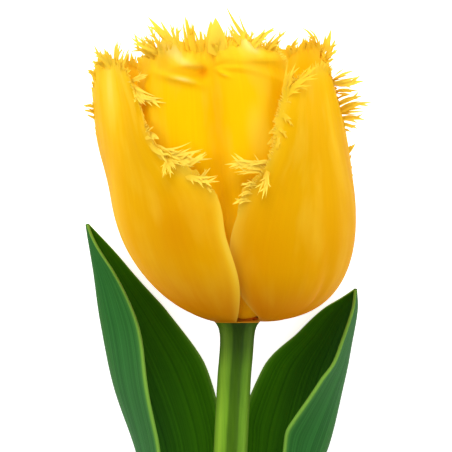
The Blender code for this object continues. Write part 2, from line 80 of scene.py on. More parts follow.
STEM_LENGTH = 220.0
STEM_RADIUS = 4.2
STEM_END_HEIGHT = 4.3  # of the cut end's middle above the table
STEM_BEND = 14.0  # length over which the stem turns into the bloom's axis
STEM_SIDE_SLOPE = 0.057  # the stem's drift aside under the bloom
STEM_SIDE_CURVE = 0.000143  # and how fast it straightens, per mm
STEM_END_SWELL = 0.25  # extra radius towards the cut end
RECEPTACLE_RADIUS = 4.2
RECEPTACLE_HEIGHT = 3.7

STAMEN_COUNT = 6
STAMEN_CIRCLE = 3.25  # radius of the circle on which the stamens stand
FILAMENT_LENGTH = 12.0
FILAMENT_RADIUS = 0.62
ANTHER_LENGTH = 11.0
ANTHER_RADIUS = 1.35
STAMEN_SPREAD = 9.0  # their lean away from the bloom's axis
OVARY_LENGTH = 19.0
OVARY_RADIUS = 2.1
STIGMA_RADIUS = 4.0
SEAT_GAP = 0.3  # between pieces that are grown together on a real flower

STATIONS = (0.0, 0.15, 0.3, 0.45, 0.6, 0.75, 0.9, 1.0)

# One entry for each tepal.  Azimuths, layers and most half angles and lifts are
# the part's.  One length, one rounding, some margins near the top, and all that
# shapes teeth, lips and folds are the finer sheets' own:
# - azimuth is the place of its middle around the bloom, length its reach along
#   the cup, layer its height off the cup, round how far its top corners draw
#   back, and fringe_from where along each side its fringe starts;
# - left and right, its half angles, and lift_left and lift_right, the heights
#   of its margins, are given at STATIONS from its claw to its tip;
# - ruffle and crease are heights, tooth sets its longest teeth, roll the lips
#   of its two sides, tilt is the range of degrees in which teeth rise out of
#   the sheet, and seed starts its random draws;
# - pale lists places painted lighter, as painted highlights on lit folds and lips
#   and painted light over shade; the list after it gives places painted darker, as
#   painted shade in creases, pockets and shaded hollows; each place is (share, u,
#   v, half width, half length, slant); and folds names its folds, if any.
TEPALS = {
    "tepal_outer_left": dict(
        azimuth=-58, length=82, layer=0.0, round=0.05, fringe_from=(0.77, 0.57), seed=11,
        left=(58, 57, 58, 57, 50, 42, 34, 22), right=(56, 60, 61, 56.5, 52.5, 28, 20.5, 16),
        lift_left=(0, 0, 0, 0.2, 0.5, 1.5, 1.3, 0.9), lift_right=(0, 0, 0.4, 0.5, 1.5, 1.8, 1.5, 1.8),
        ruffle=0.5, crease=-0.5, tooth=3.8, roll=(0.5, 0.8), tilt=(0, 16),
        pale=(
            (0.75, -0.12, 0.92, 0.3, 0.18, 0.0),
            (0.6, 0.98, 0.42, 0.05, 0.22, 0.0),
            (0.5, 0.9, 0.66, 0.22, 0.08, 0.0),
            (0.35, -0.25, 0.5, 0.22, 0.2, 0.0),
        ),
        painted_shade=((0.5, 0.55, 0.48, 0.2, 0.12, 0.1), (0.3, -0.7, 0.35, 0.2, 0.2, 0.0)),
    ),
    "tepal_outer_right": dict(
        azimuth=58, length=76, layer=0.0, round=0.06, fringe_from=(0.56, 0.74), seed=23,
        left=(10, 42, 57.5, 58.5, 51, 37, 32, 27), right=(58, 57, 58, 56, 49, 36, 23, 13),
        lift_left=(-0.3, -0.8, -1.2, -1.2, 0.6, 1.7, 2.0, 2.0),
        lift_right=(0, 0, 0, 0.2, 0.3, -0.2, -0.6, -0.6),
        ruffle=0.5, crease=-0.5, tooth=4.6, roll=(0.8, 0.4), tilt=(4, 20), folds="right",
        pale=(
            (0.4, 0.12, 0.78, 0.12, 0.16, 0.0),
            (0.5, -0.95, 0.85, 0.16, 0.2, 0.0),
        ),
        painted_shade=((0.6, -0.9, 0.3, 0.35, 0.25, 0.0), (0.35, 0.5, 0.6, 0.12, 0.2, 0.0)),
    ),
    "tepal_outer_back": dict(
        azimuth=180, length=83, layer=0.0, round=0.06, fringe_from=(0.7, 0.7), seed=31,
        left=(58, 58, 58, 56, 50, 43, 38, 31), right=(58, 58, 58, 56, 50, 43, 38, 31),
        lift_left=(0, 0, 0, 0.2, 0.6, 1.0, 1.0, 1.0), lift_right=(0, 0, 0, 0.2, 0.6, 1.0, 1.0, 1.0),
        ruffle=0.4, crease=0.4, tooth=5.0, roll=(0.5, 0.5), tilt=(0, 14),
        pale=(),
        painted_shade=(),
    ),
    "tepal_inner_front": dict(
        azimuth=-5, length=83, layer=-2.9, round=0.02, fringe_from=(0.92, 0.92), seed=47,
        left=(42, 44, 46, 48, 50, 50, 43, 37), right=(42, 44, 46, 48, 48, 48, 46, 41),
        lift_left=(0, 0, 0, 0, 0, 0, 0.3, 1.2), lift_right=(0, 0, 0, 0, 0, 0, 0.3, 1.6),
        ruffle=2.2, crease=1.2, tooth=6.2, roll=(0.2, 0.2), tilt=(-6, 18), folds="front",
        pale=(
            (0.9, -0.32, 0.978, 0.34, 0.02, -0.085),
            (1.0, 0.6, 0.99, 0.2, 0.025, 0.01),
            (0.9, -0.26, 0.924, 0.17, 0.013, -0.1),
            (0.6, 0.22, 0.925, 0.08, 0.006, -0.1),
            (0.6, 0.5, 0.75, 0.2, 0.14, 0.0),
            (0.65, -0.85, 0.8, 0.2, 0.22, 0.0),
        ),
        painted_shade=(
            (0.5, 0.05, 0.76, 0.1, 0.2, 0.0),
            (0.9, -0.05, 0.935, 0.07, 0.02, 0.0),
            (0.75, -0.3, 0.945, 0.22, 0.011, -0.095),
            (0.6, 0.12, 0.98, 0.02, 0.03, 0.0),
            (0.6, 0.97, 0.965, 0.1, 0.02, 0.0),
        ),
    ),
    "tepal_inner_back_left": dict(
        azimuth=-126, length=80, layer=-2.9, round=0.09, fringe_from=(0.7, 0.7), seed=53,
        left=(42, 44, 48, 50, 48, 42, 34, 24), right=(42, 44, 46, 48, 47, 42, 34, 24),
        lift_left=(0, 0, 0, 0, 0, 0.1, 0.1, 0.1), lift_right=(0, 0, 0, 0, 0, 0.1, 0.1, 0.1),
        ruffle=0.2, crease=0.5, tooth=4.6, roll=(0.0, 0.0), tilt=(-18, -4),
        pale=(),
        painted_shade=((0.5, 0.0, 0.95, 0.5, 0.1, 0.0),),
    ),
    "tepal_inner_back_right": dict(
        azimuth=114, length=80.5, layer=-2.9, round=0.05, fringe_from=(0.7, 0.7), seed=61,
        left=(42, 44, 48, 50, 48, 44, 38, 28), right=(42, 44, 46, 48, 47, 44, 40, 35),
        lift_left=(0, 0, 0, 0, 0, 0.1, 0.1, 0.1), lift_right=(0, 0, 0, 0, 0, 0.1, 0.1, 0.1),
        ruffle=0.2, crease=0.5, tooth=4.6, roll=(0.0, 0.0), tilt=(-18, -4),
        pale=((0.55, -0.3, 0.97, 0.7, 0.08, 0.0),),
        painted_shade=(),
    ),
}

# The large tufts of the fringe, as seen from above.  Each row is a root and a
# tip, as places right of and beyond the bloom's base, then the width, the
# height of the tip above the root, the sideways bow and the number of barbs.
# TUFT_WIDTH and TUFT_BARBS scale the widths and the numbers.
TUFTS = {
    "tepal_inner_front": (
        (-15.0, 69.5, -22.2, 76.0, 4.2, 1.0, -0.9, 2),
        (-18.5, 70.0, -22.5, 74.3, 1.9, 1.0, 0.4, 3),
        (-20.0, 69.0, -23.6, 71.5, 1.5, 0.8, 0.3, 3),
        (-20.5, 68.2, -26.4, 70.7, 2.6, 0.6, -0.6, 4),
        (-20.2, 67.0, -25.8, 68.5, 3.0, 0.8, -0.6, 4),
        (-21.0, 66.0, -24.0, 66.0, 1.8, 1.0, 0.0, 2),
        (-15.0, 70.5, -16.8, 74.6, 1.4, 0.5, 0.2, 1),
        (-13.8, 70.7, -14.8, 73.9, 1.8, 0.5, 0.1, 1),
        (-11.8, 70.5, -12.9, 76.3, 3.0, -0.5, -0.4, 1),
        (-10.8, 70.7, -11.2, 74.9, 2.2, -0.5, -0.2, 0),
        (-9.2, 70.7, -8.9, 72.6, 2.6, -0.5, 0.0, 0),
        (-7.6, 69.5, -7.9, 72.4, 1.0, 0.0, 0.0, 1),
        (-5.2, 69.5, -5.4, 75.6, 9.5, 0.5, 0.0, 0),
        (-6.4, 69.5, -6.1, 74.9, 1.6, 0.8, 0.1, 0),
        (3.5, 69.8, 9.5, 73.3, 3.2, 1.5, 0.5, 3),
        (7.0, 69.3, 12.5, 72.6, 2.4, 1.5, 0.3, 2),
        (8.2, 68.2, 11.2, 70.6, 1.8, 1.5, 0.4, 2),
        (5.0, 70.5, 6.5, 72.5, 0.8, 1.0, 0.2, 0),
        (2.8, 70.5, 4.3, 73.0, 0.8, 1.0, 0.2, 0),
        (0.5, 70.5, -2.9, 74.0, 1.4, 0.5, -0.3, 1),
        (0.3, 70.0, -1.8, 72.3, 1.2, 0.5, 0.1, 0),
    ),
    "tepal_outer_back": (
        (9.5, 69.5, -3.0, 80.3, 3.4, 4.0, -5.5, 0),
        (5.5, 71.5, 4.3, 73.2, 0.7, 0.5, 0.0, 0),
        (6.5, 71.5, 6.8, 73.0, 0.7, 0.5, 0.0, 0),
    ),
    "tepal_inner_back_right": (
        (19.8, 68.5, 16.0, 74.0, 2.4, 2.0, 1.2, 1),
        (20.8, 68.5, 23.4, 73.5, 3.2, 2.0, 0.9, 0),
        (21.8, 67.5, 24.6, 71.0, 2.6, 2.0, 0.6, 1),
        (22.2, 66.8, 25.3, 68.3, 2.4, 1.5, 0.3, 2),
        (22.0, 65.3, 24.4, 65.9, 2.2, 1.5, 0.2, 2),
        (21.2, 64.2, 23.0, 63.8, 1.8, 1.5, 0.0, 1),
        (21.4, 62.6, 23.2, 62.7, 1.4, 1.5, 0.0, 0),
        (13.0, 68.5, 15.7, 72.0, 2.0, 2.0, -0.5, 1),
        (15.5, 68.0, 16.8, 70.5, 1.6, 2.0, -0.3, 2),
        (17.5, 68.5, 17.8, 71.0, 1.6, 2.0, -0.2, 1),
        (12.0, 66.5, 9.0, 67.5, 1.6, 2.0, -0.2, 1),
        (11.0, 65.5, 10.6, 69.5, 1.8, 1.0, 0.3, 2),
        (14.0, 67.0, 14.6, 71.0, 1.4, 1.0, 0.3, 1),
    ),
    "tepal_outer_right": (
        (22.0, 61.6, 29.3, 62.8, 2.6, 2.2, 0.5, 1),
        (23.5, 60.5, 27.0, 61.4, 1.8, 1.5, 0.2, 1),
        (23.0, 59.3, 31.9, 60.3, 5.2, 1.5, 1.5, 2),
        (24.0, 57.6, 30.2, 57.9, 3.2, 1.0, 0.6, 1),
        (24.5, 55.2, 31.6, 56.7, 2.8, 1.0, 0.3, 2),
        (25.0, 53.5, 33.8, 55.0, 3.0, 1.0, -0.5, 1),
        (25.6, 53.0, 32.2, 52.6, 1.7, 1.0, 0.4, 0),
        (25.0, 51.3, 32.2, 50.5, 2.8, 1.0, -0.3, 2),
        (25.4, 50.0, 30.2, 48.4, 2.6, 1.0, 0.2, 2),
        (26.4, 48.6, 28.5, 47.6, 1.4, 1.0, 0.1, 1),
        (26.6, 43.6, 29.6, 44.8, 2.4, 0.5, 0.3, 1),
        (27.6, 41.2, 28.6, 42.4, 1.0, 0.3, 0.1, 0),
        (27.8, 38.6, 28.9, 39.4, 1.2, 0.3, 0.1, 0),
        (28.0, 36.4, 29.2, 37.4, 1.2, 0.3, 0.1, 0),
        (26.0, 56.8, 28.4, 57.0, 1.4, 0.8, 0.0, 0),
        (7.5, 38.0, -3.2, 39.3, 3.4, 2.5, 1.5, 8),
        (7.0, 37.4, -1.0, 37.4, 1.6, 2.2, 0.3, 3),
        (7.5, 40.5, 3.0, 39.0, 1.8, 2.0, 0.3, 1),
        (7.0, 38.0, 6.0, 30.5, 2.2, 2.5, -0.6, 3),
        (8.0, 37.5, 7.0, 31.8, 1.4, 2.5, -0.3, 1),
        (5.0, 34.5, 0.8, 34.2, 2.4, 1.8, 0.4, 3),
        (3.8, 32.5, 0.2, 31.5, 2.0, 1.8, 0.3, 2),
        (3.3, 30.5, -1.2, 29.5, 2.8, 1.8, 0.3, 1),
        (7.6, 52.5, 14.0, 48.7, 2.4, -3.0, -0.6, 3),
        (7.8, 48.5, 12.5, 45.8, 2.2, -2.3, -0.5, 3),
        (7.2, 44.0, 10.5, 46.2, 2.0, -1.0, 0.4, 2),
        (8.0, 56.0, 13.5, 54.5, 2.2, -2.4, -0.6, 3),
        (7.5, 54.0, 12.0, 52.0, 2.0, -2.0, -0.4, 2),
        (9.0, 57.5, 18.5, 58.9, 2.4, -3.2, -0.9, 3),
        (10.5, 59.0, 20.0, 61.8, 2.4, -3.2, -0.9, 3),
        (13.0, 60.5, 20.5, 64.0, 2.2, -2.2, -0.6, 2),
        (8.0, 60.0, 14.5, 64.5, 2.2, -1.4, -0.6, 3),
    ),
    "tepal_outer_left": (
        (-29.3, 66.0, -29.5, 70.3, 2.4, 1.0, 0.2, 1),
        (-28.4, 66.0, -28.5, 70.0, 1.6, 1.0, -0.1, 1),
        (-27.5, 65.5, -27.4, 68.6, 1.2, 1.0, 0.0, 0),
        (-26.7, 65.5, -26.3, 68.6, 1.2, 1.0, 0.0, 0),
        (-31.0, 66.0, -33.2, 68.6, 1.6, 1.0, 0.2, 2),
        (-31.5, 66.0, -35.8, 67.5, 3.0, 1.0, 0.4, 4),
        (-33.0, 64.3, -36.3, 64.8, 2.2, 1.0, 0.2, 3),
        (-33.8, 61.8, -37.3, 63.0, 2.6, 1.0, 0.3, 2),
        (-34.0, 59.5, -35.8, 59.8, 1.8, 1.0, 0.0, 1),
        (-35.0, 54.5, -38.2, 54.1, 2.2, 1.0, 0.2, 3),
        (-35.2, 53.0, -38.3, 53.3, 1.6, 1.0, 0.0, 2),
        (-35.4, 51.5, -37.6, 51.9, 1.4, 1.0, 0.0, 1),
        (-19.8, 45.5, -8.2, 43.2, 2.8, 2.6, 4.2, 4),
        (-12.0, 40.5, -7.2, 42.0, 1.6, 2.6, 0.2, 2),
        (-20.5, 41.3, -6.0, 40.8, 3.6, 2.6, 1.9, 8),
        (-17.5, 41.0, -10.8, 38.8, 1.8, 2.4, 0.4, 2),
        (-18.5, 39.0, -18.3, 36.0, 1.8, 2.4, 0.2, 2),
        (-18.0, 39.0, -16.3, 36.0, 1.6, 2.4, 0.0, 2),
        (-18.0, 39.5, -15.0, 38.2, 1.6, 2.4, 0.0, 1),
        (-12.0, 37.3, -4.2, 35.2, 2.6, 2.2, 1.8, 5),
        (-8.5, 37.0, -6.5, 38.6, 1.8, 2.2, 0.2, 2),
        (-7.8, 33.5, -6.2, 32.4, 1.4, 2.0, 0.1, 2),
        (-24.0, 47.5, -20.8, 48.3, 2.0, 2.2, 0.2, 2),
        (-23.8, 48.8, -22.0, 49.3, 1.6, 2.2, 0.1, 1),
        (-24.0, 45.8, -19.2, 45.6, 4.4, 1.4, -0.5, 1),
        (-22.5, 42.5, -16.0, 42.0, 2.8, 2.0, -0.6, 2),
        (-25.0, 58.0, -17.3, 54.5, 2.8, 2.2, 1.6, 4),
        (-23.5, 61.0, -20.6, 55.0, 2.6, 2.0, 0.9, 1),
        (-26.0, 58.0, -22.3, 53.8, 2.0, 2.2, 0.4, 2),
        (-23.5, 56.5, -25.3, 54.6, 1.5, 2.2, 0.2, 1),
        (-26.0, 60.0, -21.8, 61.5, 2.0, 2.2, -0.4, 3),
        (-25.5, 60.5, -26.5, 59.5, 1.4, 2.2, 0.2, 1),
    ),
    "tepal_inner_back_left": (),
}

# The leaves.  side is +1 for the right one.  Each row is a station along the
# keel: its place right of and beyond the bloom's base, its height above the
# table, the leaf's half width, the directions of its far and its near margin in
# degrees, and how sharply it folds at the keel.
LEAVES = {
    "leaf_left": dict(
        side=-1,
        rows=(
            (-10.7, -118.0, 17.0, 13.0, 215, -35, 0.3),
            (-10.6, -106.0, 18.2, 14.5, 205, -25, 0.3),
            (-12.4, -91.0, 19.5, 14.5, 184, 0, 0.5),
            (-14.6, -77.0, 16.0, 16.8, 188, 34, 0.8),
            (-17.6, -62.0, 10.5, 18.7, 190, 52, 1.2),
            (-20.8, -47.0, 6.6, 19.4, 187, 62, 1.8),
            (-24.4, -32.0, 5.0, 23.0, 182, 66, 3.0),
            (-30.5, -15.5, 4.5, 23.9, 179, 60, 3.6),
            (-34.3, 0.5, 4.5, 17.4, 178, 47, 3.6),
            (-36.3, 13.5, 5.5, 8.8, 177, 42, 3.0),
            (-38.2, 24.7, 7.5, 0.9, 176, 60, 2.0),
        ),
    ),
    "leaf_right": dict(
        side=1,
        rows=(
            (1.7, -92.0, 19.5, 9.0, 180, 0, 0.3),
            (3.8, -80.0, 20.1, 12.0, 182, 12, 0.5),
            (6.9, -70.0, 17.4, 14.5, 187, 34, 0.8),
            (11.4, -58.0, 11.6, 17.5, 188, 50, 1.2),
            (15.6, -46.0, 7.6, 18.8, 186, 51, 1.8),
            (22.3, -32.2, 5.2, 24.2, 181, 50, 3.0),
            (26.1, -15.5, 4.4, 20.9, 179, 66, 3.6),
            (28.2, -5.5, 5.0, 13.7, 178, 71, 3.4),
            (30.0, 3.0, 5.8, 7.4, 177, 72, 3.0),
            (30.3, 8.4, 7.0, 0.7, 176, 70, 2.0),
        ),
    ),
}

# ---------------------------------------------------------------------------
# Sizes that only the looks use
# ---------------------------------------------------------------------------

SHEET_ACROSS = 104
SHEET_ALONG = 220
SHEET_THICKNESS = 0.5
TEETH_HEIGHT = 1.0  # of the sheets' own toothed margin
TEETH = 98.0  # of its small teeth, as many as the whole margin would hold
LARGER_TEETH = 57.0
RIB_COUNT = 13  # soft lengthwise ribs across a tepal
RIB_HEIGHT = 0.018
WAVE_HEIGHT = 0.35  # slow unevenness of the sheets
SHARP_FROM = 55.0  # degrees from which an edge of a tepal is sharp

BLADE_ROWS = 8
BLADE_SIDES = 6
BLADE_FLATNESS = 0.16  # thickness of a blade over its width
BARB_FLATNESS = BLADE_FLATNESS * 1.4
BARB_ANGLE = (20.0, 45.0)  # off its blade, in degrees
BARB_RISE = (-15.0, 25.0)  # out of its blade's face, in degrees
BARB_LENGTH = (0.2, 0.36)  # over its blade's
BARB_LIMITS = (0.8, 3.2)  # the least and the most of that length
BARB_WIDTH = (0.15, 0.36)  # the least, and what it has of its blade's
BLADE_THICKNESS = 0.2  # most of half a blade's thickness
BLADE_TROUGH = 0.22  # how far a blade's sides turn up, over its half width
BLADE_SUNK = 1.4  # how far a blade's root reaches back into its sheet

TUFT_WIDTH = 0.68
TUFT_BARBS = 1.3
TUFT_BACK = 2.2  # how far the root of a large tuft reaches back in its sheet
TUFT_USUAL = 2.4  # width of a tuft that reaches back so far
TUFT_SUNK = 0.32  # how deep it lies there
TUFT_TURN = 0.9  # how far tufts turn their faces towards where the fringe looks
TUFT_ROOT_PAINTED_LIGHT = 0.15  # how much of its tip's paler colour a tuft's root has, as painted light over its shade
FRINGE_TIP_PALE_AND_LIT = 0.7  # how pale the fringe's tips are painted, partly their lemon tone, partly painted light
FAN = 1.1  # how the fringe of a top edge spreads to both sides

HEM_STEP = 0.5  # spacing of the small fringe teeth
HEM_SHORTEST = 1.2
HEM_LONGEST = 0.85  # over the tepal's own tooth
HEM_SIDES = 0.6  # length of teeth along the long margins, over that at the top
HEM_WIDTH = (0.35, 0.8)
HEM_CLUMP = 6  # teeth that share a size and a tilt
HEM_CLUMP_FAN = 24.0  # lean of a clump's outer teeth, in degrees
HEM_CLUMP_LEAN = 16.0  # most that a tooth leans at random, in degrees
HEM_CLUMP_TILT = 12.0  # most that it tilts at random
HEM_FADE = 14.0  # teeth over which the hem grows from each of its ends

LEAF_THICKNESS = 0.8
LEAF_ALONG = 150
LEAF_ACROSS = 56
LEAF_EDGE_POWER = 60  # which keeps the pale edge of a leaf thin

STEM_RINGS = 150
STEM_SIDES = 40
STEM_RIM_RADIUS = 6.2  # where the stem meets the tepals
STEM_RIM_RISE = 0.75
STEM_FLARE = 1.5  # length over which the widening to that rim fades
STEM_RIBS = 9
STEM_RIB_DEPTH = 0.012  # over its radius
STEM_UNEVEN = 0.012  # how far its radius varies along it, over the radius
STEM_END_BEVEL = 0.25  # how much narrower the cut end is
RECEPTACLE_STEPS = ((0.15, 6.0), (0.4, 5.2), (1.4, 4.4))  # rise above the rim, radius

OVARY_SHAPE = ((0.0, 0.1, 0.35, 0.7, 0.92, 1.0), (0.72, 0.9, 1.0, 0.94, 0.8, 0.86))
STIGMA_SHAPE = ((0.0, 0.25, 0.6, 0.85, 1.0), (0.42, 0.72, 1.0, 0.85, 0.3))
STIGMA_HEIGHT = 2.9

VIEW_CENTRE = np.array([0.75, 95.15, 27.0])  # what the camera looks at
VIEW_WIDTH = 113.0  # how much of the table's width the camera takes in there
CAMERA_HEIGHT = 2000.0
SENSOR_WIDTH = 36.0
TABLE_HALF = 6000.0
TABLE_DROP = 0.2  # of the table top under the part

VEIN_TINT = (0.95, 0.86, 0.8)  # what veins and clouds leave of a petal's colour
PAINTED_SHADE_TINT = (0.9, 0.68, 0.5)  # and what its places of painted shade leave
PATCH_COLOUR = (0.95, 0.65, 0.04)  # of the petals' soft pale patches
LEMON = (0.98, 0.81, 0.11)  # of the fringe's tips
LEAF_EDGE_COLOUR = (0.2, 0.4, 0.05)
RECEPTACLE_COLOUR = (0.62, 0.24, 0.002)


# ---------------------------------------------------------------------------
# Arrays and meshes
# ---------------------------------------------------------------------------


def climb(x, start, width):
    """0 up to start, 1 from start + width on, and straight between."""
    return np.clip((x - start) / width, 0.0, 1.0)


def eased(t):
    """t^2 (3 - 2t), which goes from 0 to 1 with a soft start and a soft end."""
    return t**2 * (3.0 - 2.0 * t)


def side_of(u, pair):
    """The left or right value of a pair, by the sign of u."""
    return np.where(u < 0, pair[0], pair[1])


def smooth(x, stations, values):
    """A smooth curve through values at stations: cubic pieces whose slopes at
    each station are the mean slopes across it."""
    stations, values = np.asarray(stations, float), np.asarray(values, float)
    slopes = np.gradient(values, stations)
    i = np.clip(np.searchsorted(stations, x, side="right") - 1, 0, len(stations) - 2)
    span = stations[i + 1] - stations[i]
    t = climb(x, stations[i], span)
    return (
        (2 * t**3 - 3 * t**2 + 1) * values[i]
        + (t**3 - 2 * t**2 + t) * span * slopes[i]
        + (3 * t**2 - 2 * t**3) * values[i + 1]
        + (t**3 - t**2) * span * slopes[i + 1]
    )


def unit(v):
    """Vectors at length one."""
    return v / np.maximum(np.linalg.norm(v, axis=-1, keepdims=True), 1e-9)


def square_to(way, v):
    """What of v is square to a direction, at length one."""
    return unit(v - way * np.sum(v * way, -1, keepdims=True))


def curve(a, b, c, t):
    """Points (1 - t)^2 a + 2 t (1 - t) b + t^2 c and directions of a bow."""
    return (
        (1 - t) ** 2 * a + 2 * t * (1 - t) * b + t**2 * c,
        unit(2 * (1 - t) * (b - a) + 2 * t * (c - b)),
    )


def hump(x, middle, width):
    """A round hump exp(-((x - middle) / width)^2)."""
    return np.exp(-(((x - middle) / width) ** 2))


def slow_waves(x, y, rng, count=5):
    """An uneven field between about -1 and 1: the mean of a few sine waves of
    random direction, length and phase."""
    total = np.zeros(np.broadcast(x, y).shape)
    for turn, phase in zip(rng.normal(0.0, 1.0, (count, 2)), rng.uniform(0.0, 2 * math.pi, count)):
        total += np.sin(2 * math.pi * (turn[0] * x + turn[1] * y) + phase)
    return total / count


def grid_quads(rows, columns, closed=False):
    """Corners of the four-cornered faces of a grid of points, row by row; a
    closed grid joins its last column to its first."""
    wide = columns if closed else columns + 1
    row, column = np.meshgrid(np.arange(rows), np.arange(columns), indexing="ij")
    a = row * wide + column
    b = row * wide + (column + 1) % wide
    return np.stack([a, b, b + wide, a + wide], -1).reshape(-1, 4)


def tube_faces(rings, sides, first, low, high):
    """Faces of a closed tube: quads between its rings, whose points start at
    number first, and a fan of triangles at each end from points low and high."""
    around = first + np.arange(sides)
    after = first + (np.arange(sides) + 1) % sides
    last = (rings - 1) * sides
    start = np.stack([np.full(sides, low), after, around], -1)
    end = np.stack([np.full(sides, high), last + around, last + after], -1)
    return grid_quads(rings - 1, sides, closed=True) + first, np.concatenate([start, end])


def in_scene(name, data):
    """A new object that shows its data in the scene."""
    obj = bpy.data.objects.new(name, data)
    bpy.context.scene.collection.objects.link(obj)
    return obj


def store(name, points, quads, finish, triangles=None, uv=None, values=None):
    """A smooth mesh object from whole arrays: points in millimetres, faces,
    one UV pair for each point and named values for each point."""
    triangles = np.zeros((0, 3), int) if triangles is None else triangles
    corners = np.concatenate([np.ravel(quads), np.ravel(triangles)]).astype(np.int32)
    sizes = np.concatenate([np.full(len(quads), 4), np.full(len(triangles), 3)])
    mesh = bpy.data.meshes.new(name)
    mesh.vertices.add(len(points))
    mesh.vertices.foreach_set("co", np.ravel(points * MM).astype(np.float32))
    mesh.loops.add(len(corners))
    mesh.loops.foreach_set("vertex_index", corners)
    mesh.polygons.add(len(sizes))
    mesh.polygons.foreach_set("loop_start", (np.cumsum(sizes) - sizes).astype(np.int32))
    if uv is not None:
        layer = mesh.uv_layers.new(name="surface")
        layer.data.foreach_set("uv", np.ravel(uv[corners]).astype(np.float32))
    for key, value in (values or {}).items():
        attribute = mesh.attributes.new(key, "FLOAT", "POINT")
        attribute.data.foreach_set("value", np.ravel(value).astype(np.float32))
    mesh.update(calc_edges=True)
    mesh.validate()
    mesh.shade_smooth()
    mesh.materials.append(finish)
    return in_scene(name, mesh)


def thicken(obj, thickness, inside=None):
    """Gives a sheet its thickness on the side away from its normals, with a
    finish of its own there if one is given, and stores the result in the mesh."""
    solid = obj.modifiers.new("thickness", "SOLIDIFY")
    if inside:
        obj.data.materials.append(inside)
        solid.material_offset = 1
    solid.thickness = thickness * MM
    solid.offset = -1.0
    solid.use_even_offset = False
    settle(obj)


def settle(obj):
    """Puts what an object's modifiers make of its mesh into the mesh."""
    depsgraph = bpy.context.evaluated_depsgraph_get()
    made = bpy.data.meshes.new_from_object(obj.evaluated_get(depsgraph))
    old = obj.data
    obj.modifiers.clear()
    obj.data = made
    made.name = old.name
    bpy.data.meshes.remove(old)


def join(name, pieces):
    """Puts several meshes into one object."""
    with bpy.context.temp_override(
        active_object=pieces[0], selected_editable_objects=pieces, selected_objects=pieces
    ):
        bpy.ops.object.join()
    pieces[0].name = name
    pieces[0].data.name = name
    return pieces[0]


def dress(obj, node):
    """Makes a piece stand for a node of the part and ride on its body."""
    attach(obj, "root")
    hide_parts(node)


# ---------------------------------------------------------------------------
# The bloom's surfaces
# ---------------------------------------------------------------------------


def bloom_turn():
    """The bloom's three axes as columns: its own +Z turned to lie along +Y,
    pitched up and leaned aside."""
    pitch = math.radians(BLOOM_PITCH - 90.0)
    lean = math.radians(BLOOM_LEAN)
    about_x = np.array(
        [[1, 0, 0], [0, math.cos(pitch), -math.sin(pitch)], [0, math.sin(pitch), math.cos(pitch)]]
    )
    about_z = np.array(
        [[math.cos(lean), -math.sin(lean), 0], [math.sin(lean), math.cos(lean), 0], [0, 0, 1]]
    )
    return about_z @ about_x


TURN = bloom_turn()
SKYWARD = np.array([0.0, 0.0, 1.0]) @ TURN  # the part's +Z in the bloom's own frame
FRINGE_LOOKS = unit(SKYWARD + (0.0, 0.0, 0.5))  # where the fringe's faces look


def lay_down(points):
    """Bloom points in the part's frame."""
    return points @ TURN.T + BLOOM_BASE


def cup_profile():
    """The cup's outline as (distance along it, radius, height, outward normal).
    Its bottom is a rounded bowl and its wall goes straight up."""
    low = CUP_FULL_HEIGHT * np.linspace(0.0, 1.0, 400) ** 2
    z = np.concatenate([low, np.linspace(CUP_FULL_HEIGHT, CUP_HEIGHT, 60)[1:]])
    rise = 1.0 - climb(z, 0.0, CUP_FULL_HEIGHT)
    r = CUP_RADIUS * (1.0 - rise**CUP_BELLY) ** (1.0 / CUP_FLOOR)
    keep = r >= CLAW_RADIUS
    r, z = r[keep], z[keep]
    along = np.concatenate([[0.0], np.cumsum(np.hypot(np.diff(r), np.diff(z)))])
    normal = unit(np.stack([np.gradient(z, along), -np.gradient(r, along)], -1))
    return along, r, z + CUP_LIFT, normal


CUP = cup_profile()


def tepal_point(tepal, u, v, extra=0.0):
    """Outer face of a tepal.  u runs from -1 to 1 across it and v from 0 at
    the claw to 1 at the top edge.  The point lies on the cup at distance
    length * v * (1 - round * v^4 * u^2), at an azimuth u half widths from the
    middle.  It stands off the cup by its layer, plus u^2 times the lift of
    that margin, minus a crease exp(-(6u)^2) along the middle, minus a ruffle
    cos(2 pi u) that grows towards the top, plus an extra height.  The bowl sags
    by a slope towards +X that fades at the claw and up the wall."""
    along, radius, height, normal = CUP
    left, right, *lifts = (
        smooth(v, STATIONS, tepal[key]) for key in ("left", "right", "lift_left", "lift_right")
    )
    distance = tepal["length"] * v * (1.0 - tepal["round"] * v**4 * u**2)
    azimuth = np.radians(tepal["azimuth"] + (left + right) / 2 * u + (right - left) / 2 * u**2)
    layer = tepal["layer"] * (CLAW_LAYER + (1.0 - CLAW_LAYER) * climb(v, 0.0, WHORL_RISE))
    crease = tepal["crease"] * np.exp(-((6.0 * u) ** 2)) * np.sin(math.pi * np.clip(v, 0.0, 0.9))
    waved = climb(v, RUFFLE_FROM, 1.0 - RUFFLE_FROM) ** 1.5
    ruffle = tepal["ruffle"] * np.cos(2 * math.pi * u) * waved
    off = layer + side_of(u, lifts) * u**2 - crease - ruffle + extra
    r = np.interp(distance, along, radius) + off * np.interp(distance, along, normal[:, 0])
    z = np.interp(distance, along, height) + off * np.interp(distance, along, normal[:, 1])
    swell = CUP_SWELL * np.exp(-((z / SWELL_HEIGHT) ** 2)) * climb(v, 0.0, SWELL_FROM_CLAW)
    r = r * (1.0 + swell * np.sin(azimuth))
    x = r * np.sin(azimuth)
    clear = 1.0 - (CLAW_RADIUS / np.maximum(r, CLAW_RADIUS)) ** 2
    sag = CUP_SAG * np.exp(-((z / SAG_HEIGHT) ** 2)) * clear
    return np.stack([x, -r * np.cos(azimuth), z - sag * x], -1)


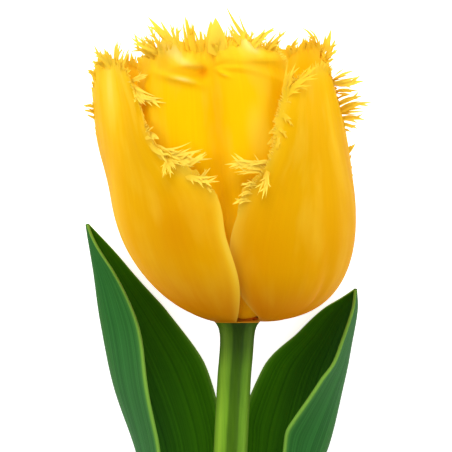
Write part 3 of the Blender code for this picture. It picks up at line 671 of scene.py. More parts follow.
def tepal_relief(tepal, u, v):
    """Height of a sheet's own forms above its plain shape: soft ribs
    cos(pi n u) and slow waves that fade at the claw, a lip that rolls out
    along each long margin as ((|u| - 0.7) / 0.3)^2, and the tepal's own folds."""
    rng = np.random.default_rng(tepal["seed"] + 1000)
    ribs = RIB_HEIGHT * np.cos(math.pi * RIB_COUNT * u + 3.0 * slow_waves(u * 0.5, v * 0.7, rng))
    waves = WAVE_HEIGHT * slow_waves(u * 0.9, v * 1.2, rng)
    lip = climb(np.abs(u), 0.7, 0.3) ** 2 * hump(v, 0.6, 0.3)
    rolled = side_of(u, tepal["roll"]) * lip
    folds = FOLDS.get(tepal.get("folds"), no_folds)(u, v)
    return (ribs + waves) * climb(v, 0.0, 0.25) + rolled + folds


def no_folds(u, v):
    """A sheet with no folds of its own."""
    return np.zeros(np.broadcast(u, v).shape)


def front_folds(u, v):
    """Folds of the front tepal.  Most are a hump exp(-(d / w)^2) in the
    distance d from a slanting line.  A broad groove runs up its middle.  Its
    top has two pleats that fan out to the left from a pocket beside the
    groove, a short stroke and a fold across right of it, and a ridge up to the
    long middle tooth.  A lobe on each side bends back over the mouth by
    50 b^2 / (b + 0.02), and less beside that tooth, with b the way past the
    lobe's start.  Fine pleats cos(17 a + d / 2) radiate from the pocket, with a
    the direction and d the distance from it.  The tepal's foot, lower middle
    and sides stand out towards its neighbours."""
    groove = -1.2 * hump(u, 0.06, 0.13) * hump(v, 0.74, 0.24)
    left = climb(-u, -0.06, 0.14)
    first = 2.2 * hump(v, 0.952 - 0.095 * u, 0.019) * left * hump(u, -0.2, 0.34)
    second = 1.7 * hump(v, 0.898 - 0.1 * u, 0.016) * left * hump(u, -0.28, 0.26)
    pocket = -2.2 * hump(v, 0.937, 0.022) * hump(u, -0.05, 0.08)
    stroke = 0.9 * hump(v, 0.93 - 0.14 * (u - 0.2), 0.008) * hump(u, 0.2, 0.07)
    across = 1.2 * hump(v, 0.962 + 0.03 * u, 0.026) * climb(u, 0.2, 0.2)
    start = np.where(u < 0.0, 0.958 - 0.08 * u, 0.958 + 0.01 * u)
    bent = np.clip(v - start, 0.0, 1.0)
    bend = -50.0 * bent**2 / (bent + 0.02) * (1.0 - 0.7 * hump(u, 0.15, 0.16))
    spike = 0.8 * hump(u, 0.15, 0.05) * climb(v, 0.94, 0.06)
    half_width, length = 22.0, 83.0
    aside, above = half_width * (u + 0.03), length * (v - 0.93)
    away, direction = np.hypot(aside, above), np.arctan2(above, aside)
    fan = 0.38 * np.cos(17.0 * direction + 0.5 * away) * climb(away, 2.0, 5.0)
    fan = fan * climb(v - 0.945 + 0.06 * u, 0.0, 0.025)
    low = 2.2 * hump(v, 0.4, 0.17) * hump(u, 0.05, 0.35)
    foot = 1.1 * hump(v, 0.05, 0.1) * hump(u, 0.5, 0.6)
    sides = (2.6 * hump(u, -0.74, 0.3) + 1.6 * hump(u, 0.9, 0.3)) * hump(v, 0.76, 0.2)
    return groove + first + second + pocket + stroke + across + bend + spike + fan + foot + low + sides


def right_folds(u, v):
    """A shallow crease that climbs the right tepal from its base."""
    return -0.7 * hump(u, 0.1 - 0.55 * (v - 0.1), 0.07) * hump(v, 0.25, 0.2)


FOLDS = {"front": front_folds, "right": right_folds}


def sheet_point(tepal, u, v):
    """Outer face of a tepal with its relief."""
    return tepal_point(tepal, u, v, tepal_relief(tepal, u, v))


def sheet_normal(tepal, u, v):
    """Outward direction of the sheet at (u, v), from small steps along it."""
    step = NORMAL_STEP
    across = sheet_point(tepal, u + step, v) - sheet_point(tepal, u - step, v)
    up = sheet_point(tepal, u, np.clip(v + step, 0, 1)) - sheet_point(tepal, u, np.clip(v - step, 0, 1))
    return unit(np.cross(across, up))


def margin_uv(m):
    """The margin as one line: m goes from 0 at the claw's left corner, up the
    left side, over the top edge and down the right side to 1."""
    top = climb(m, MARGIN_SIDE, 1.0 - 2.0 * MARGIN_SIDE)
    return 2.0 * top - 1.0, climb(np.minimum(m, 1.0 - m), 0.0, MARGIN_SIDE)


def margin(tepal, m):
    """Points of the margin at m, with the directions away from the sheet, along
    the margin and out of the sheet's outer face."""
    u, v = margin_uv(m)
    line = sheet_point(tepal, u, v)
    face = sheet_normal(tepal, u * MARGIN_INSIDE, np.minimum(v, MARGIN_INSIDE))
    before = sheet_point(tepal, *margin_uv(np.clip(m - MARGIN_STEP, 0.0, 1.0)))
    after = sheet_point(tepal, *margin_uv(np.clip(m + MARGIN_STEP, 0.0, 1.0)))
    along = unit(after - before)
    return line, unit(np.cross(face, along)), along, face


def margin_reach(tepal, m):
    """How far the sheet's margin is drawn out at m, in millimetres.  Where it
    is fringed, that is TEETH_HEIGHT times the teeth 1 - |sin| of one pitch plus
    1.3 times the power 1.5 of the teeth of another, of uneven size, plus an
    uneven share of 1.3 mm; the front tepal has a lobe on each side of its
    middle besides.  With it come the teeth's slant along the margin and their
    tilt out of the face, as shares of the reach, and how far the roots of the
    fringe move out."""
    u, v = margin_uv(m)
    rng = np.random.default_rng(tepal["seed"] + 50)
    none = m * 0.0
    drift = slow_waves(m * 8.0, none, rng)
    teeth = 1.0 - np.abs(np.sin(math.pi * (TEETH * m + 1.6 * drift)))
    larger = 1.0 - np.abs(np.sin(math.pi * (LARGER_TEETH * m - 2.1 * drift)))
    fringed = climb(v, side_of(u, tepal["fringe_from"]), 0.05)
    size = 0.75 + 0.9 * slow_waves(m * 17.0, none, rng)
    uneven = 1.3 * np.clip(slow_waves(m * 14.0, none, rng) + 0.2, 0.0, 1.0)
    reach = (TEETH_HEIGHT * (teeth + 1.3 * larger**1.5) * np.clip(size, 0.25, 1.5) + uneven) * fringed
    top = (v >= 1.0) * (1.0 - np.abs(u) ** 6)
    slant = 1.1 * slow_waves(m * 19.0, none, rng) + FAN * u * top
    tilt = 0.5 * slow_waves(m * 23.0, none, rng)
    lobes = none
    if tepal.get("folds") == "front":
        lobes = top * (2.7 * hump(u, -0.42, 0.33) + 2.4 * hump(u, 0.55, 0.28) + 0.8)
        slant = slant * np.clip(1.0 - lobes, 0.0, 1.0)
    return reach + lobes, slant, tilt, 0.85 * lobes


def drawn_out(tepal, u, v):
    """The sheet with its margin drawn out: each point near a margin moves
    away from the sheet by that margin's reach times w^2 (3 - 2w), where w
    grows from 0 to 1 over the outermost 10 % of the width or 4 % of the
    length, and with it aside and out of the face.  The top edge moves on in
    the direction in which the sheet climbs there."""
    points = sheet_point(tepal, u, v)
    top = MARGIN_SIDE + (u[0] + 1.0) / 2.0 * (1.0 - 2.0 * MARGIN_SIDE)
    sides = (
        (v[:, 0] * MARGIN_SIDE, climb(-u, 0.9, 0.1), (slice(None), None)),
        (1.0 - v[:, 0] * MARGIN_SIDE, climb(u, 0.9, 0.1), (slice(None), None)),
        (top, climb(v, 0.96, 0.04), (None, slice(None))),
    )
    for m, w, spread in sides:
        _, outward, along_edge, face = margin(tepal, m)
        if spread[0] is None:
            outward = unit(points[-1] - sheet_point(tepal, u[-1], 0.98 * v[-1]))
        reach, slant, tilt = (value[:, None] for value in margin_reach(tepal, m)[:3])
        moved = reach * (outward + along_edge * slant + face * tilt)
        points = points + moved[spread] * eased(w)[..., None]
    return points


def blades(start, control, end, lying, across, width, flatness, uv, tip_from, tip_to):
    """Tapering blades of fringe.  The middle line of each is the curve
    (1 - t)^2 start + 2 t (1 - t) control + t^2 end.  Its section is an ellipse
    whose half width is width / 2 * (1 - t)^0.75 * (0.75 + 0.25 sin(pi t)) and
    whose half thickness is flatness times that, up to BLADE_THICKNESS, and
    less near the root; it ends in a point both ways.  Its sides turn up by
    BLADE_TROUGH * t * half width * (cos^2 - 1/2), and its width turns from
    lying to across.  Returns points, quads, triangles, UVs and how near each
    point is to a tip of the fringe."""
    count = len(start)
    t = np.linspace(0.0, 1.0, BLADE_ROWS + 1)[None, :, None]
    middle, tangent = curve(start[:, None], control[:, None], end[:, None], t)
    turned = np.clip(1.6 * t, 0.0, 1.0)
    side = square_to(tangent, lying[:, None] * (1.0 - turned) + across[:, None] * turned)
    face = np.cross(side, tangent)
    half = width[:, None, None] / 2 * (1 - t) ** 0.75 * (0.75 + 0.25 * np.sin(math.pi * t))
    angle = np.linspace(0.0, 2 * math.pi, BLADE_SIDES, endpoint=False)
    thick = np.minimum(half * flatness, BLADE_THICKNESS) * np.clip(0.4 + 2.0 * t, 0.0, 1.0)
    ring = (
        middle[:, 1:-1, None]
        + (half * side)[:, 1:-1, None] * np.cos(angle)[:, None]
        + (thick * face)[:, 1:-1, None] * np.sin(angle)[:, None]
        + (t * half * face * BLADE_TROUGH)[:, 1:-1, None] * (np.cos(angle)[:, None] ** 2 - 0.5)
    )
    rings = BLADE_ROWS - 1
    per_blade = rings * BLADE_SIDES + 2
    points = np.concatenate(
        [middle[:, :1], ring.reshape(count, -1, 3), middle[:, -1:]], axis=1
    ).reshape(-1, 3)
    quads, triangles = tube_faces(rings, BLADE_SIDES, 1, 0, per_blade - 1)
    shift = (np.arange(count) * per_blade)[:, None, None]
    quads = (quads[None] + shift).reshape(-1, 4)
    triangles = (triangles[None] + shift).reshape(-1, 3)
    row_t = np.concatenate([[0.0], np.repeat(t[0, 1:-1, 0], BLADE_SIDES), [1.0]])
    tips = tip_from[:, None] + (tip_to - tip_from)[:, None] * row_t
    maps = np.repeat(uv, per_blade, axis=0)
    maps[:, 1] += 0.06 * np.tile(row_t, count)
    return points, quads, triangles, maps, tips.ravel()


def barbs(rng, start, control, end, across, width, counts):
    """Side barbs of blades: each leaves its blade's middle line at a random
    place, to one side or the other by turns, and bends forward.  Returns the
    arrays that a blade is made from, then how far along its blade each barb
    starts, and which blade that is."""
    owner = np.repeat(np.arange(len(start)), counts)
    number = np.concatenate([np.arange(n) for n in counts]) if len(counts) else np.zeros(0, int)
    share = (number + rng.uniform(0.2, 0.8, len(owner))) / np.maximum(counts[owner], 1)
    t = (0.2 + 0.55 * share)[:, None]
    root, tangent = curve(start[owner], control[owner], end[owner], t)
    side = square_to(tangent, across[owner])
    face = np.cross(side, tangent)
    way = np.where(number % 2 == 0, 1.0, -1.0)[:, None]
    angle = np.radians(rng.uniform(*BARB_ANGLE, len(owner)))[:, None]
    up = np.radians(rng.uniform(*BARB_RISE, len(owner)))[:, None]
    out = tangent * np.cos(angle) + side * way * np.sin(angle)
    out = out * np.cos(up) + face * np.sin(up)
    whole = np.linalg.norm(end[owner] - start[owner], axis=-1, keepdims=True)
    length = np.clip(whole * rng.uniform(*BARB_LENGTH, (len(owner), 1)), *BARB_LIMITS)
    tip = root + out * length
    middle = root + out * length * 0.55 - side * way * length * 0.06
    tip = tip + tangent * length * 0.12
    slim = width[owner] * BARB_WIDTH[1] + BARB_WIDTH[0]
    return root, middle, tip, square_to(out, side), slim, t[:, 0], owner


def outlook(face):
    """Where blades' faces look: out of the sheet, on its upper side."""
    return face * np.where(face @ SKYWARD < 0.0, -1.0, 1.0)[:, None]


def hem(tepal, rng):
    """Small teeth all along the fringed margin.  They stand in clumps that
    share a size and a tilt, and fan out from the middle of the clump and of the
    top edge, each with a lean and a tilt of its own besides.  A tooth's face
    looks out of the sheet at the root and, by a share of its own, towards
    where the fringe looks at the tip."""
    coarse = np.linspace(0.0, 1.0, 800)
    u, v = margin_uv(coarse)
    line = tepal_point(tepal, u, v)
    along = np.concatenate([[0.0], np.cumsum(np.linalg.norm(np.diff(line, axis=0), axis=1))])
    fringed = np.nonzero(v >= side_of(u, tepal["fringe_from"]))[0]
    first, last = along[fringed[0]], along[fringed[-1]]
    count = int((last - first) / HEM_STEP)
    m = np.interp(first + HEM_STEP * (np.arange(count) + rng.uniform(-0.3, 0.3, count)), along, coarse)
    line, outward, along_edge, face = margin(tepal, m)
    line = line + outward * margin_reach(tepal, m)[3][:, None]
    hem_u, hem_v = margin_uv(m)
    groups = count // HEM_CLUMP + 1
    size = np.repeat(rng.uniform(0.35, 1.0, groups), HEM_CLUMP)[:count]
    tilt = np.repeat(rng.uniform(*tepal["tilt"], groups), HEM_CLUMP)[:count]
    tilt = tilt + rng.uniform(-HEM_CLUMP_TILT, HEM_CLUMP_TILT, count)
    place = np.tile(np.linspace(-1.0, 1.0, HEM_CLUMP), groups)[:count]
    lean = place * HEM_CLUMP_FAN + rng.uniform(-HEM_CLUMP_LEAN, HEM_CLUMP_LEAN, count)
    lean = np.radians(lean) + np.arctan(FAN * hem_u) * (hem_v >= 1.0)
    number = np.arange(count)
    fade = np.clip(np.minimum(number + 1, count - number) / HEM_FADE, 0.15, 1.0)
    longer = HEM_LONGEST * tepal["tooth"] - HEM_SHORTEST
    length = (HEM_SHORTEST + longer * size * rng.uniform(0.3, 1.0, count)) * fade
    length = length * (1.0 - 0.35 * np.abs(place)) * np.where(hem_v < 1.0, HEM_SIDES, 1.0)
    tilt = np.radians(tilt)
    way = (
        outward * (np.cos(lean) * np.cos(tilt))[:, None]
        + along_edge * (np.sin(lean) * np.cos(tilt))[:, None]
        + face * np.sin(tilt)[:, None]
    )
    start = line - outward * BLADE_SUNK - face * rng.uniform(0.15, 0.4, count)[:, None]
    end = line + way * length[:, None]
    bow = 0.12 * length * rng.uniform(-1, 1, count)
    control = line + way * length[:, None] * 0.45 + along_edge * bow[:, None]
    width = rng.uniform(*HEM_WIDTH, count) * (0.6 + 0.5 * size)
    looks = outlook(face) * 0.8 + FRINGE_LOOKS * rng.uniform(0.3, 1.5, count)[:, None]
    lying, across = unit(np.cross(way, outlook(face))), unit(np.cross(way, unit(looks)))
    return start, control, end, lying, across, width, np.stack([hem_u, hem_v], -1)


def bundled(rows, rng):
    """Each tuft's row three times: itself, and two slimmer and shorter ones
    whose tips are turned to one side and the other by 0.06 to 0.22 of the
    length, and which have fewer barbs."""
    rows = np.repeat(np.asarray(rows, float).reshape(-1, 8), 3, axis=0)
    follower = np.arange(len(rows)) % 3 > 0
    shorter = np.where(follower, rng.uniform(0.6, 0.92, len(rows)), 1.0)
    aside = np.where(follower, rng.uniform(0.06, 0.22, len(rows)), 0.0)
    aside = aside * np.where(np.arange(len(rows)) % 3 == 1, 1.0, -1.0)
    whole = rows[:, 2:4] - rows[:, :2]
    turned = np.stack([whole[:, 1], -whole[:, 0]], -1)
    rows[:, 2:4] = rows[:, :2] + (whole + turned * aside[:, None]) * shorter[:, None]
    rows[:, :2] += turned * aside[:, None] * 0.3
    rows[:, 4] *= np.where(follower, 0.65, 1.0)
    rows[:, 7] *= np.where(follower, 0.3, 1.0)
    return rows


def large_tufts(tepal, rows, rng):
    """The tufts listed in TUFTS.  Each root is the place of the margin that is
    nearest to it from above, and the tip stands above that root by its given
    height; the middle line bows sideways.  A tuft starts a little back in its
    sheet and under it, and its face is turned from the sheet's towards where
    the fringe looks.  The higher a tip stands, the more it has of the fringe's
    paler tip colour, which is painted light on raised tips: 0.65 + 0.2 * height,
    from 0.35 to 1."""
    rows = bundled(rows, rng)
    width, height, bow, counts = rows[:, 4:].T
    m = np.linspace(0.0, 1.0, 1600)
    line, outward, _, face = margin(tepal, m)
    line = line + outward * margin_reach(tepal, m)[3][:, None]
    flat = lay_down(line)[:, :2] - BLOOM_BASE[:2]
    nearest = np.argmin(np.linalg.norm(flat[None] - rows[:, None, :2], axis=-1), axis=1)
    root = lay_down(line[nearest])
    tip = np.column_stack([rows[:, 2:4] + BLOOM_BASE[:2], root[:, 2] + height])
    tip = (tip - BLOOM_BASE) @ TURN
    out, up = outward[nearest], unit(face[nearest] + TUFT_TURN * FRINGE_LOOKS)
    root = line[nearest]
    whole = tip - root
    back = TUFT_BACK * np.clip(width[:, None] / TUFT_USUAL, 0.4, 1.2)
    start = root - unit(whole) * back * 0.4 - out * back * 0.7 - up * TUFT_SUNK
    lying = unit(np.cross(unit(whole), outlook(up)))
    across = unit(np.cross(unit(whole), FRINGE_LOOKS + 0.35 * outlook(up)))
    rise = 0.1 * np.linalg.norm(whole, axis=-1, keepdims=True)
    control = root * 0.6 + tip * 0.4 + across * bow[:, None] + up * rise
    width, counts = width * TUFT_WIDTH, (counts * TUFT_BARBS).astype(int)
    places = np.stack(margin_uv(m[nearest]), -1)
    # Painted light: the higher a tip stands, the paler it is painted.
    raised_tip_light = np.clip(0.65 + 0.2 * height, 0.35, 1.0)
    return start, control, tip, lying, across, width, places, counts, raised_tip_light


def make_fringe(name, tepal, finish):
    """One tepal's fringe as one mesh: its small teeth, and its large tufts with
    their barbs.  All of it stays above the table."""
    rng = np.random.default_rng(tepal["seed"])
    start, control, end, lying, across, width, uv = hem(tepal, rng)
    low, high = np.zeros(len(start)), rng.uniform(0.4, 0.9, len(start))
    parts = [blades(start, control, end, lying, across, width, BLADE_FLATNESS, uv, low, high)]
    if TUFTS[name]:
        tufts = large_tufts(tepal, TUFTS[name], rng)
        start, control, end, lying, across, width, uv, counts, raised_tip_light = tufts
        # Painted light: each tuft's root has a share of its tip's paler colour over its shade.
        low = raised_tip_light * TUFT_ROOT_PAINTED_LIGHT
        parts.append(blades(start, control, end, lying, across, width, BLADE_FLATNESS, uv, low, raised_tip_light))
        root, middle, tip, turned, slim, t, owner = barbs(rng, start, control, end, across, width, counts)
        high = raised_tip_light[owner]
        low = (TUFT_ROOT_PAINTED_LIGHT + (1.0 - TUFT_ROOT_PAINTED_LIGHT) * t) * high
        if len(root):
            parts.append(blades(
                root, middle, tip, turned, turned, slim, BARB_FLATNESS, uv[owner], low, high
            ))
    points, quads, triangles, places, tips = zip(*parts)
    firsts = np.cumsum([0] + [len(part) for part in points[:-1]])
    quads = np.concatenate([faces + first for faces, first in zip(quads, firsts)])
    triangles = np.concatenate([faces + first for faces, first in zip(triangles, firsts)])
    placed = lay_down(np.concatenate(points))
    placed[:, 2] = np.maximum(placed[:, 2], 0.02)
    places, tips = np.concatenate(places), np.concatenate(tips)
    # The sheet's painted light and painted shade carry on into the fringe, and its tips are painted paler
    # besides, partly their lemon tone and partly painted light.
    pale, painted_shade = shades(tepal, places[:, 0], np.minimum(places[:, 1], 1.0))
    pale = np.maximum(pale * (1.0 - tips), tips * FRINGE_TIP_PALE_AND_LIT)
    return store(
        name + "_fringe", placed, quads, finish, triangles, places * (0.5, 1.0) + (0.5, 0.0),
        {"tip": tips, "pale": pale, "painted_shade": painted_shade * (1.0 - tips)},
    )


def around_grid(rows, columns):
    """Points around the edge of a grid: along its first row, up its last
    column, back along its last row and down its first column."""
    wide = columns + 1
    return np.concatenate([
        np.arange(columns),
        np.arange(rows) * wide + columns,
        rows * wide + np.arange(columns, 0, -1),
        np.arange(rows, 0, -1) * wide,
    ])


def make_sheet(name, tepal, finish):
    """A tepal's sheet: its outer face, which stays on the table's upper side,
    an inner face that lies under it by SHEET_THICKNESS * (1 - 0.8 e), where
    e = max(u^8, v^16) grows to 1 at the margin, and the rim between.  0.25 e^3
    is how much it has of the colour of the fringe's tips."""
    v, u = np.meshgrid(
        1.0 - (1.0 - np.linspace(0.0, 1.0, SHEET_ALONG + 1)) ** 1.25,
        np.linspace(-1.0, 1.0, SHEET_ACROSS + 1),
        indexing="ij",
    )
    outer = lay_down(drawn_out(tepal, u, v))
    outer[..., 2] = np.maximum(outer[..., 2], 0.0)
    normal = unit(np.cross(np.gradient(outer, axis=1), np.gradient(outer, axis=0)))
    near_edge = np.maximum(np.abs(u) ** 8, v**16)
    inner = outer - normal * (SHEET_THICKNESS * (1.0 - 0.8 * near_edge))[..., None]
    inner[..., 2] = np.maximum(inner[..., 2], 0.2 * SHEET_THICKNESS)
    points = np.concatenate([outer.reshape(-1, 3), inner.reshape(-1, 3)])
    quads = grid_quads(SHEET_ALONG, SHEET_ACROSS)
    loop = around_grid(SHEET_ALONG, SHEET_ACROSS)
    after = np.roll(loop, -1)
    count = outer.shape[0] * outer.shape[1]
    rim = np.stack([after, loop, loop + count, after + count], -1)
    surface = np.stack([0.5 + 0.5 * u, v], -1).reshape(-1, 2)
    # Painted light and painted shade of the tepal, from its lists of places.
    pale, painted_shade = (np.tile(field.ravel(), 2) for field in shades(tepal, u, v))
    return store(
        name + "_sheet", points, np.concatenate([quads, quads[:, ::-1] + count, rim]), finish,
        uv=np.tile(surface, (2, 1)),
        values={"tip": np.tile((0.25 * near_edge**3).ravel(), 2), "pale": pale, "painted_shade": painted_shade},
    )


def shades(tepal, u, v):
    """Where a tepal is painted lighter, as painted highlights and painted light
    over shade, and where it is painted darker, as painted shade, each from 0 to
    1: the highest of share * exp(-((u - its u) / half width)^2) *
    exp(-((v - its v) / half length)^2) over the places in its lists, whose v
    slants with u."""
    fields = []
    for key in ("pale", "painted_shade"):
        field = np.zeros(u.shape)
        for share, middle_u, middle_v, wide, tall, slant in tepal[key]:
            middle = middle_v + slant * (u - middle_u)
            field = np.maximum(field, share * hump(u, middle_u, wide) * hump(v, middle, tall))
        fields.append(field)
    return fields


def make_tepal(name, tepal, finish):
    """A tepal's sheet with its fringe."""
    whole = join(
        name.replace("tepal_", "") + "_tepal",
        [make_sheet(name, tepal, finish), make_fringe(name, tepal, finish)],
    )
    whole.data.set_sharp_from_angle(angle=math.radians(SHARP_FROM))
    dress(whole, name)


# ---------------------------------------------------------------------------
# Stem, stamens, pistil and leaves
# ---------------------------------------------------------------------------


def loft(centres, sections, reference=(1.0, 0.0, 0.0)):
    """Points and faces of a closed body through rings that stand square to
    the line of centres.  Sections holds each ring's points as (along the
    reference, aside); the ends are closed by a middle point."""
    tangent = unit(np.gradient(centres, axis=0))
    second = unit(np.cross(tangent, np.asarray(reference, float)))
    first = np.cross(second, tangent)
    points = centres[:, None] + sections[..., 0:1] * first[:, None] + sections[..., 1:2] * second[:, None]
    rings, sides = sections.shape[:2]
    points = np.concatenate([points.reshape(-1, 3), centres[:1], centres[-1:]])
    return points, *tube_faces(rings, sides, 0, rings * sides, rings * sides + 1)


def make_lofted(name, node, line, sections, finish, reference=(1.0, 0.0, 0.0)):
    """A piece of the bloom's inside, of rings along a line."""
    points, quads, triangles = loft(line, sections, reference)
    dress(store(name, lay_down(points), quads, finish, triangles), node)


def rings(radii, sides, wide=1.0, lobes=0, depth=0.0, ribs=0, rib_depth=0.0):
    """Rings of the given radii times 1 + depth cos(lobes a) + rib_depth
    cos(ribs a) at the angle a, widened one way."""
    angle = np.linspace(0.0, 2 * math.pi, sides, endpoint=False)
    shape = 1.0 + depth * np.cos(lobes * angle) + rib_depth * np.cos(ribs * angle)
    ring = np.stack([wide * np.cos(angle) * shape, np.sin(angle) * shape], -1)
    return np.asarray(radii, float)[:, None, None] * ring


def stem_centre(distance):
    """Middle of the stem at a distance below the bloom: it leaves along the
    bloom's axis and sinks, a little faster further on, to the table."""
    distance = np.asarray(distance, float)
    slope = math.tan(math.radians(BLOOM_PITCH))
    drop = BLOOM_BASE[2] - STEM_END_HEIGHT
    bend = (drop - slope * STEM_LENGTH) / STEM_LENGTH**2
    return np.stack(
        [
            BLOOM_BASE[0] - STEM_SIDE_SLOPE * distance + STEM_SIDE_CURVE * distance**2,
            BLOOM_BASE[1] - distance,
            BLOOM_BASE[2] - slope * distance - bend * distance**2,
        ],
        -1,
    )


def make_stem(finish):
    """The stem with its receptacle: a softly ribbed tube that turns into the
    bloom's axis and widens under the bloom by exp(-distance / STEM_FLARE).
    Above its rim it closes over the receptacle in a few steps."""
    distance = np.concatenate(
        [np.linspace(STEM_LENGTH, STEM_BEND, STEM_RINGS), np.linspace(STEM_BEND, -STEM_RIM_RISE, 40)[1:]]
    )
    axis = unit(TURN[:, 2] * (0.0, 1.0, 1.0))
    share = np.clip(1.0 - distance / STEM_BEND, 0.0, 1.0)[:, None]
    turned = eased(share)
    straight = stem_centre(0.0) - axis * distance[:, None]
    centres = (1.0 - turned) * stem_centre(distance) + turned * straight
    radii = STEM_RADIUS + STEM_END_SWELL * distance / STEM_LENGTH
    radii = radii + (STEM_RIM_RADIUS - STEM_RADIUS) * np.exp(-(distance + STEM_RIM_RISE) / STEM_FLARE)
    rng = np.random.default_rng(5)
    radii = radii * (1.0 + STEM_UNEVEN * slow_waves(distance / 60.0, distance * 0.0, rng))
    rise, crown = np.transpose([
        *((STEM_RIM_RISE + above, radius) for above, radius in RECEPTACLE_STEPS),
        (RECEPTACLE_HEIGHT - 0.2, RECEPTACLE_RADIUS - 0.3),
        (RECEPTACLE_HEIGHT, RECEPTACLE_RADIUS - 0.9),
    ])
    centres = np.concatenate([centres, stem_centre(0.0) + axis * rise[:, None]])
    radii = np.concatenate([radii, crown])
    radii[0] -= STEM_END_BEVEL
    centres[0] += unit(centres[1] - centres[0]) * 0.2 * STEM_END_BEVEL
    sections = rings(radii, STEM_SIDES, ribs=STEM_RIBS, rib_depth=STEM_RIB_DEPTH)
    points, quads, triangles = loft(centres, sections)
    across = np.cos(np.linspace(0.0, 2 * math.pi, STEM_SIDES, endpoint=False))
    across = np.concatenate([np.tile(across, len(radii)), [0.0, 0.0]])
    stem = store("stem_scape", points, quads, finish, triangles, values={"across": across})
    dress(stem, "stem")


def make_stamen(index, filament_finish, anther_finish):
    """A tapering filament that leans outwards, and on its tip an anther with
    four pollen sacs."""
    azimuth = math.radians(30 + 360 * index / STAMEN_COUNT)
    away = np.array([math.sin(azimuth), -math.cos(azimuth), 0.0])
    lean = math.radians(STAMEN_SPREAD)
    way = away * math.sin(lean) + np.array([0.0, 0.0, math.cos(lean)])
    foot = away * STAMEN_CIRCLE + np.array([0.0, 0.0, RECEPTACLE_HEIGHT + SEAT_GAP])
    share = np.linspace(0.0, 1.0, 16)
    line = foot + way * (FILAMENT_LENGTH * share)[:, None]
    radii = FILAMENT_RADIUS * (1.0 - 0.5 * share**2)
    number = index + 1
    make_lofted(
        f"stamen_filament_{number}", f"filament_{number}",
        line, rings(radii, 14), filament_finish, np.cross(away, (0.0, 0.0, 1.0)),
    )
    share = np.linspace(0.0, 1.0, 28)
    line = line[-1] + way * (SEAT_GAP + ANTHER_LENGTH * share)[:, None]
    radii = ANTHER_RADIUS * np.clip(np.sin(math.pi * (0.08 + 0.86 * share)), 0.0, 1.0) ** 0.45
    make_lofted(
        f"stamen_anther_{number}", f"anther_{number}",
        line, rings(radii, 28, wide=0.8, lobes=4, depth=0.1), anther_finish, away,
    )


def make_pistil(ovary_finish, stigma_finish):
    """A three-sided ovary, and a stigma of three folded lobes on its top."""
    up = np.array([0.0, 0.0, 1.0])
    foot = np.array([0.0, 0.0, RECEPTACLE_HEIGHT + SEAT_GAP])
    share = np.linspace(0.0, 1.0, 30)
    line = foot + up * (OVARY_LENGTH * share)[:, None]
    sections = rings(OVARY_RADIUS * smooth(share, *OVARY_SHAPE), 36, lobes=3, depth=0.1)
    make_lofted("pistil_ovary", "ovary", line, sections, ovary_finish)
    seat = foot + up * (OVARY_LENGTH + SEAT_GAP)
    share = np.linspace(0.0, 1.0, 20)
    line = seat + up * (STIGMA_HEIGHT * share)[:, None]
    radii = STIGMA_RADIUS * smooth(share, *STIGMA_SHAPE)
    sections = rings(radii, 72, lobes=3, depth=0.3, ribs=24, rib_depth=0.035)
    make_lofted("pistil_stigma", "stigma", line, sections, stigma_finish)


def make_leaf(name, leaf, finish, inside):
    """A channelled leaf.  At each station its section starts at the far margin
    under the stem, turns past the keel and ends at the near margin above it.
    Its direction there is the mean of the two margins' directions, less half
    their difference times tanh(fold s) / tanh(fold), where s goes from -1 to 1.
    Fine ribs run along it."""
    rows = np.asarray(leaf["rows"], float)
    stations = np.linspace(0.0, 1.0, len(rows))
    t = np.linspace(0.0, 1.0, LEAF_ALONG + 1)
    keel = np.stack([smooth(t, stations, rows[:, k]) for k in range(3)], -1)
    half_width, far, near, fold = (smooth(t, stations, rows[:, k])[:, None] for k in (3, 4, 5, 6))
    keel = keel + np.array([BLOOM_BASE[0], BLOOM_BASE[1], 0.0])
    tangent = unit(np.gradient(keel, axis=0))
    inward = np.array([-leaf["side"], 0.0, 0.0])
    aside = unit(inward - tangent * (tangent @ inward)[:, None])
    up = np.cross(tangent, aside) * leaf["side"]
    s = np.linspace(-1.0, 1.0, LEAF_ACROSS + 1)
    middle = (s[1:] + s[:-1]) / 2
    heading = np.radians((far + near) / 2 - (far - near) / 2 * np.tanh(fold * middle) / np.tanh(fold))
    start = np.zeros((len(t), 1))
    step = half_width * (s[1] - s[0])
    sideways = np.concatenate([start, np.cumsum(np.cos(heading) * step, axis=1)], axis=1)
    upwards = np.concatenate([start, np.cumsum(np.sin(heading) * step, axis=1)], axis=1)
    keel_at = LEAF_ACROSS // 2
    sideways = sideways - sideways[:, keel_at : keel_at + 1]
    upwards = upwards - upwards[:, keel_at : keel_at + 1]
    points = keel[:, None] + sideways[..., None] * aside[:, None] + upwards[..., None] * up[:, None]
    points[..., 2] = np.maximum(points[..., 2], 0.0)
    quads = grid_quads(LEAF_ALONG, LEAF_ACROSS)
    if leaf["side"] > 0:
        quads = quads[:, ::-1]
    grid_t, grid_s = np.meshgrid(t, s, indexing="ij")
    blade = store(
        name.replace("leaf_", "") + "_leaf", points.reshape(-1, 3), quads, finish,
        uv=np.stack([0.5 + 0.5 * grid_s, grid_t], -1).reshape(-1, 2),
        values={"edge": (np.abs(grid_s) ** LEAF_EDGE_POWER).ravel()},
    )
    thicken(blade, LEAF_THICKNESS, inside)
    dress(blade, name)


# ---------------------------------------------------------------------------
# Finishes
# ---------------------------------------------------------------------------


def new_finish(name, roughness, specular):
    """A material with its Principled shader."""
    finish = bpy.data.materials.new(name)
    finish.use_nodes = True
    shader = finish.node_tree.nodes["Principled BSDF"]
    shader.inputs["Roughness"].default_value = roughness
    shader.inputs["Specular IOR Level"].default_value = specular
    return finish, finish.node_tree, shader


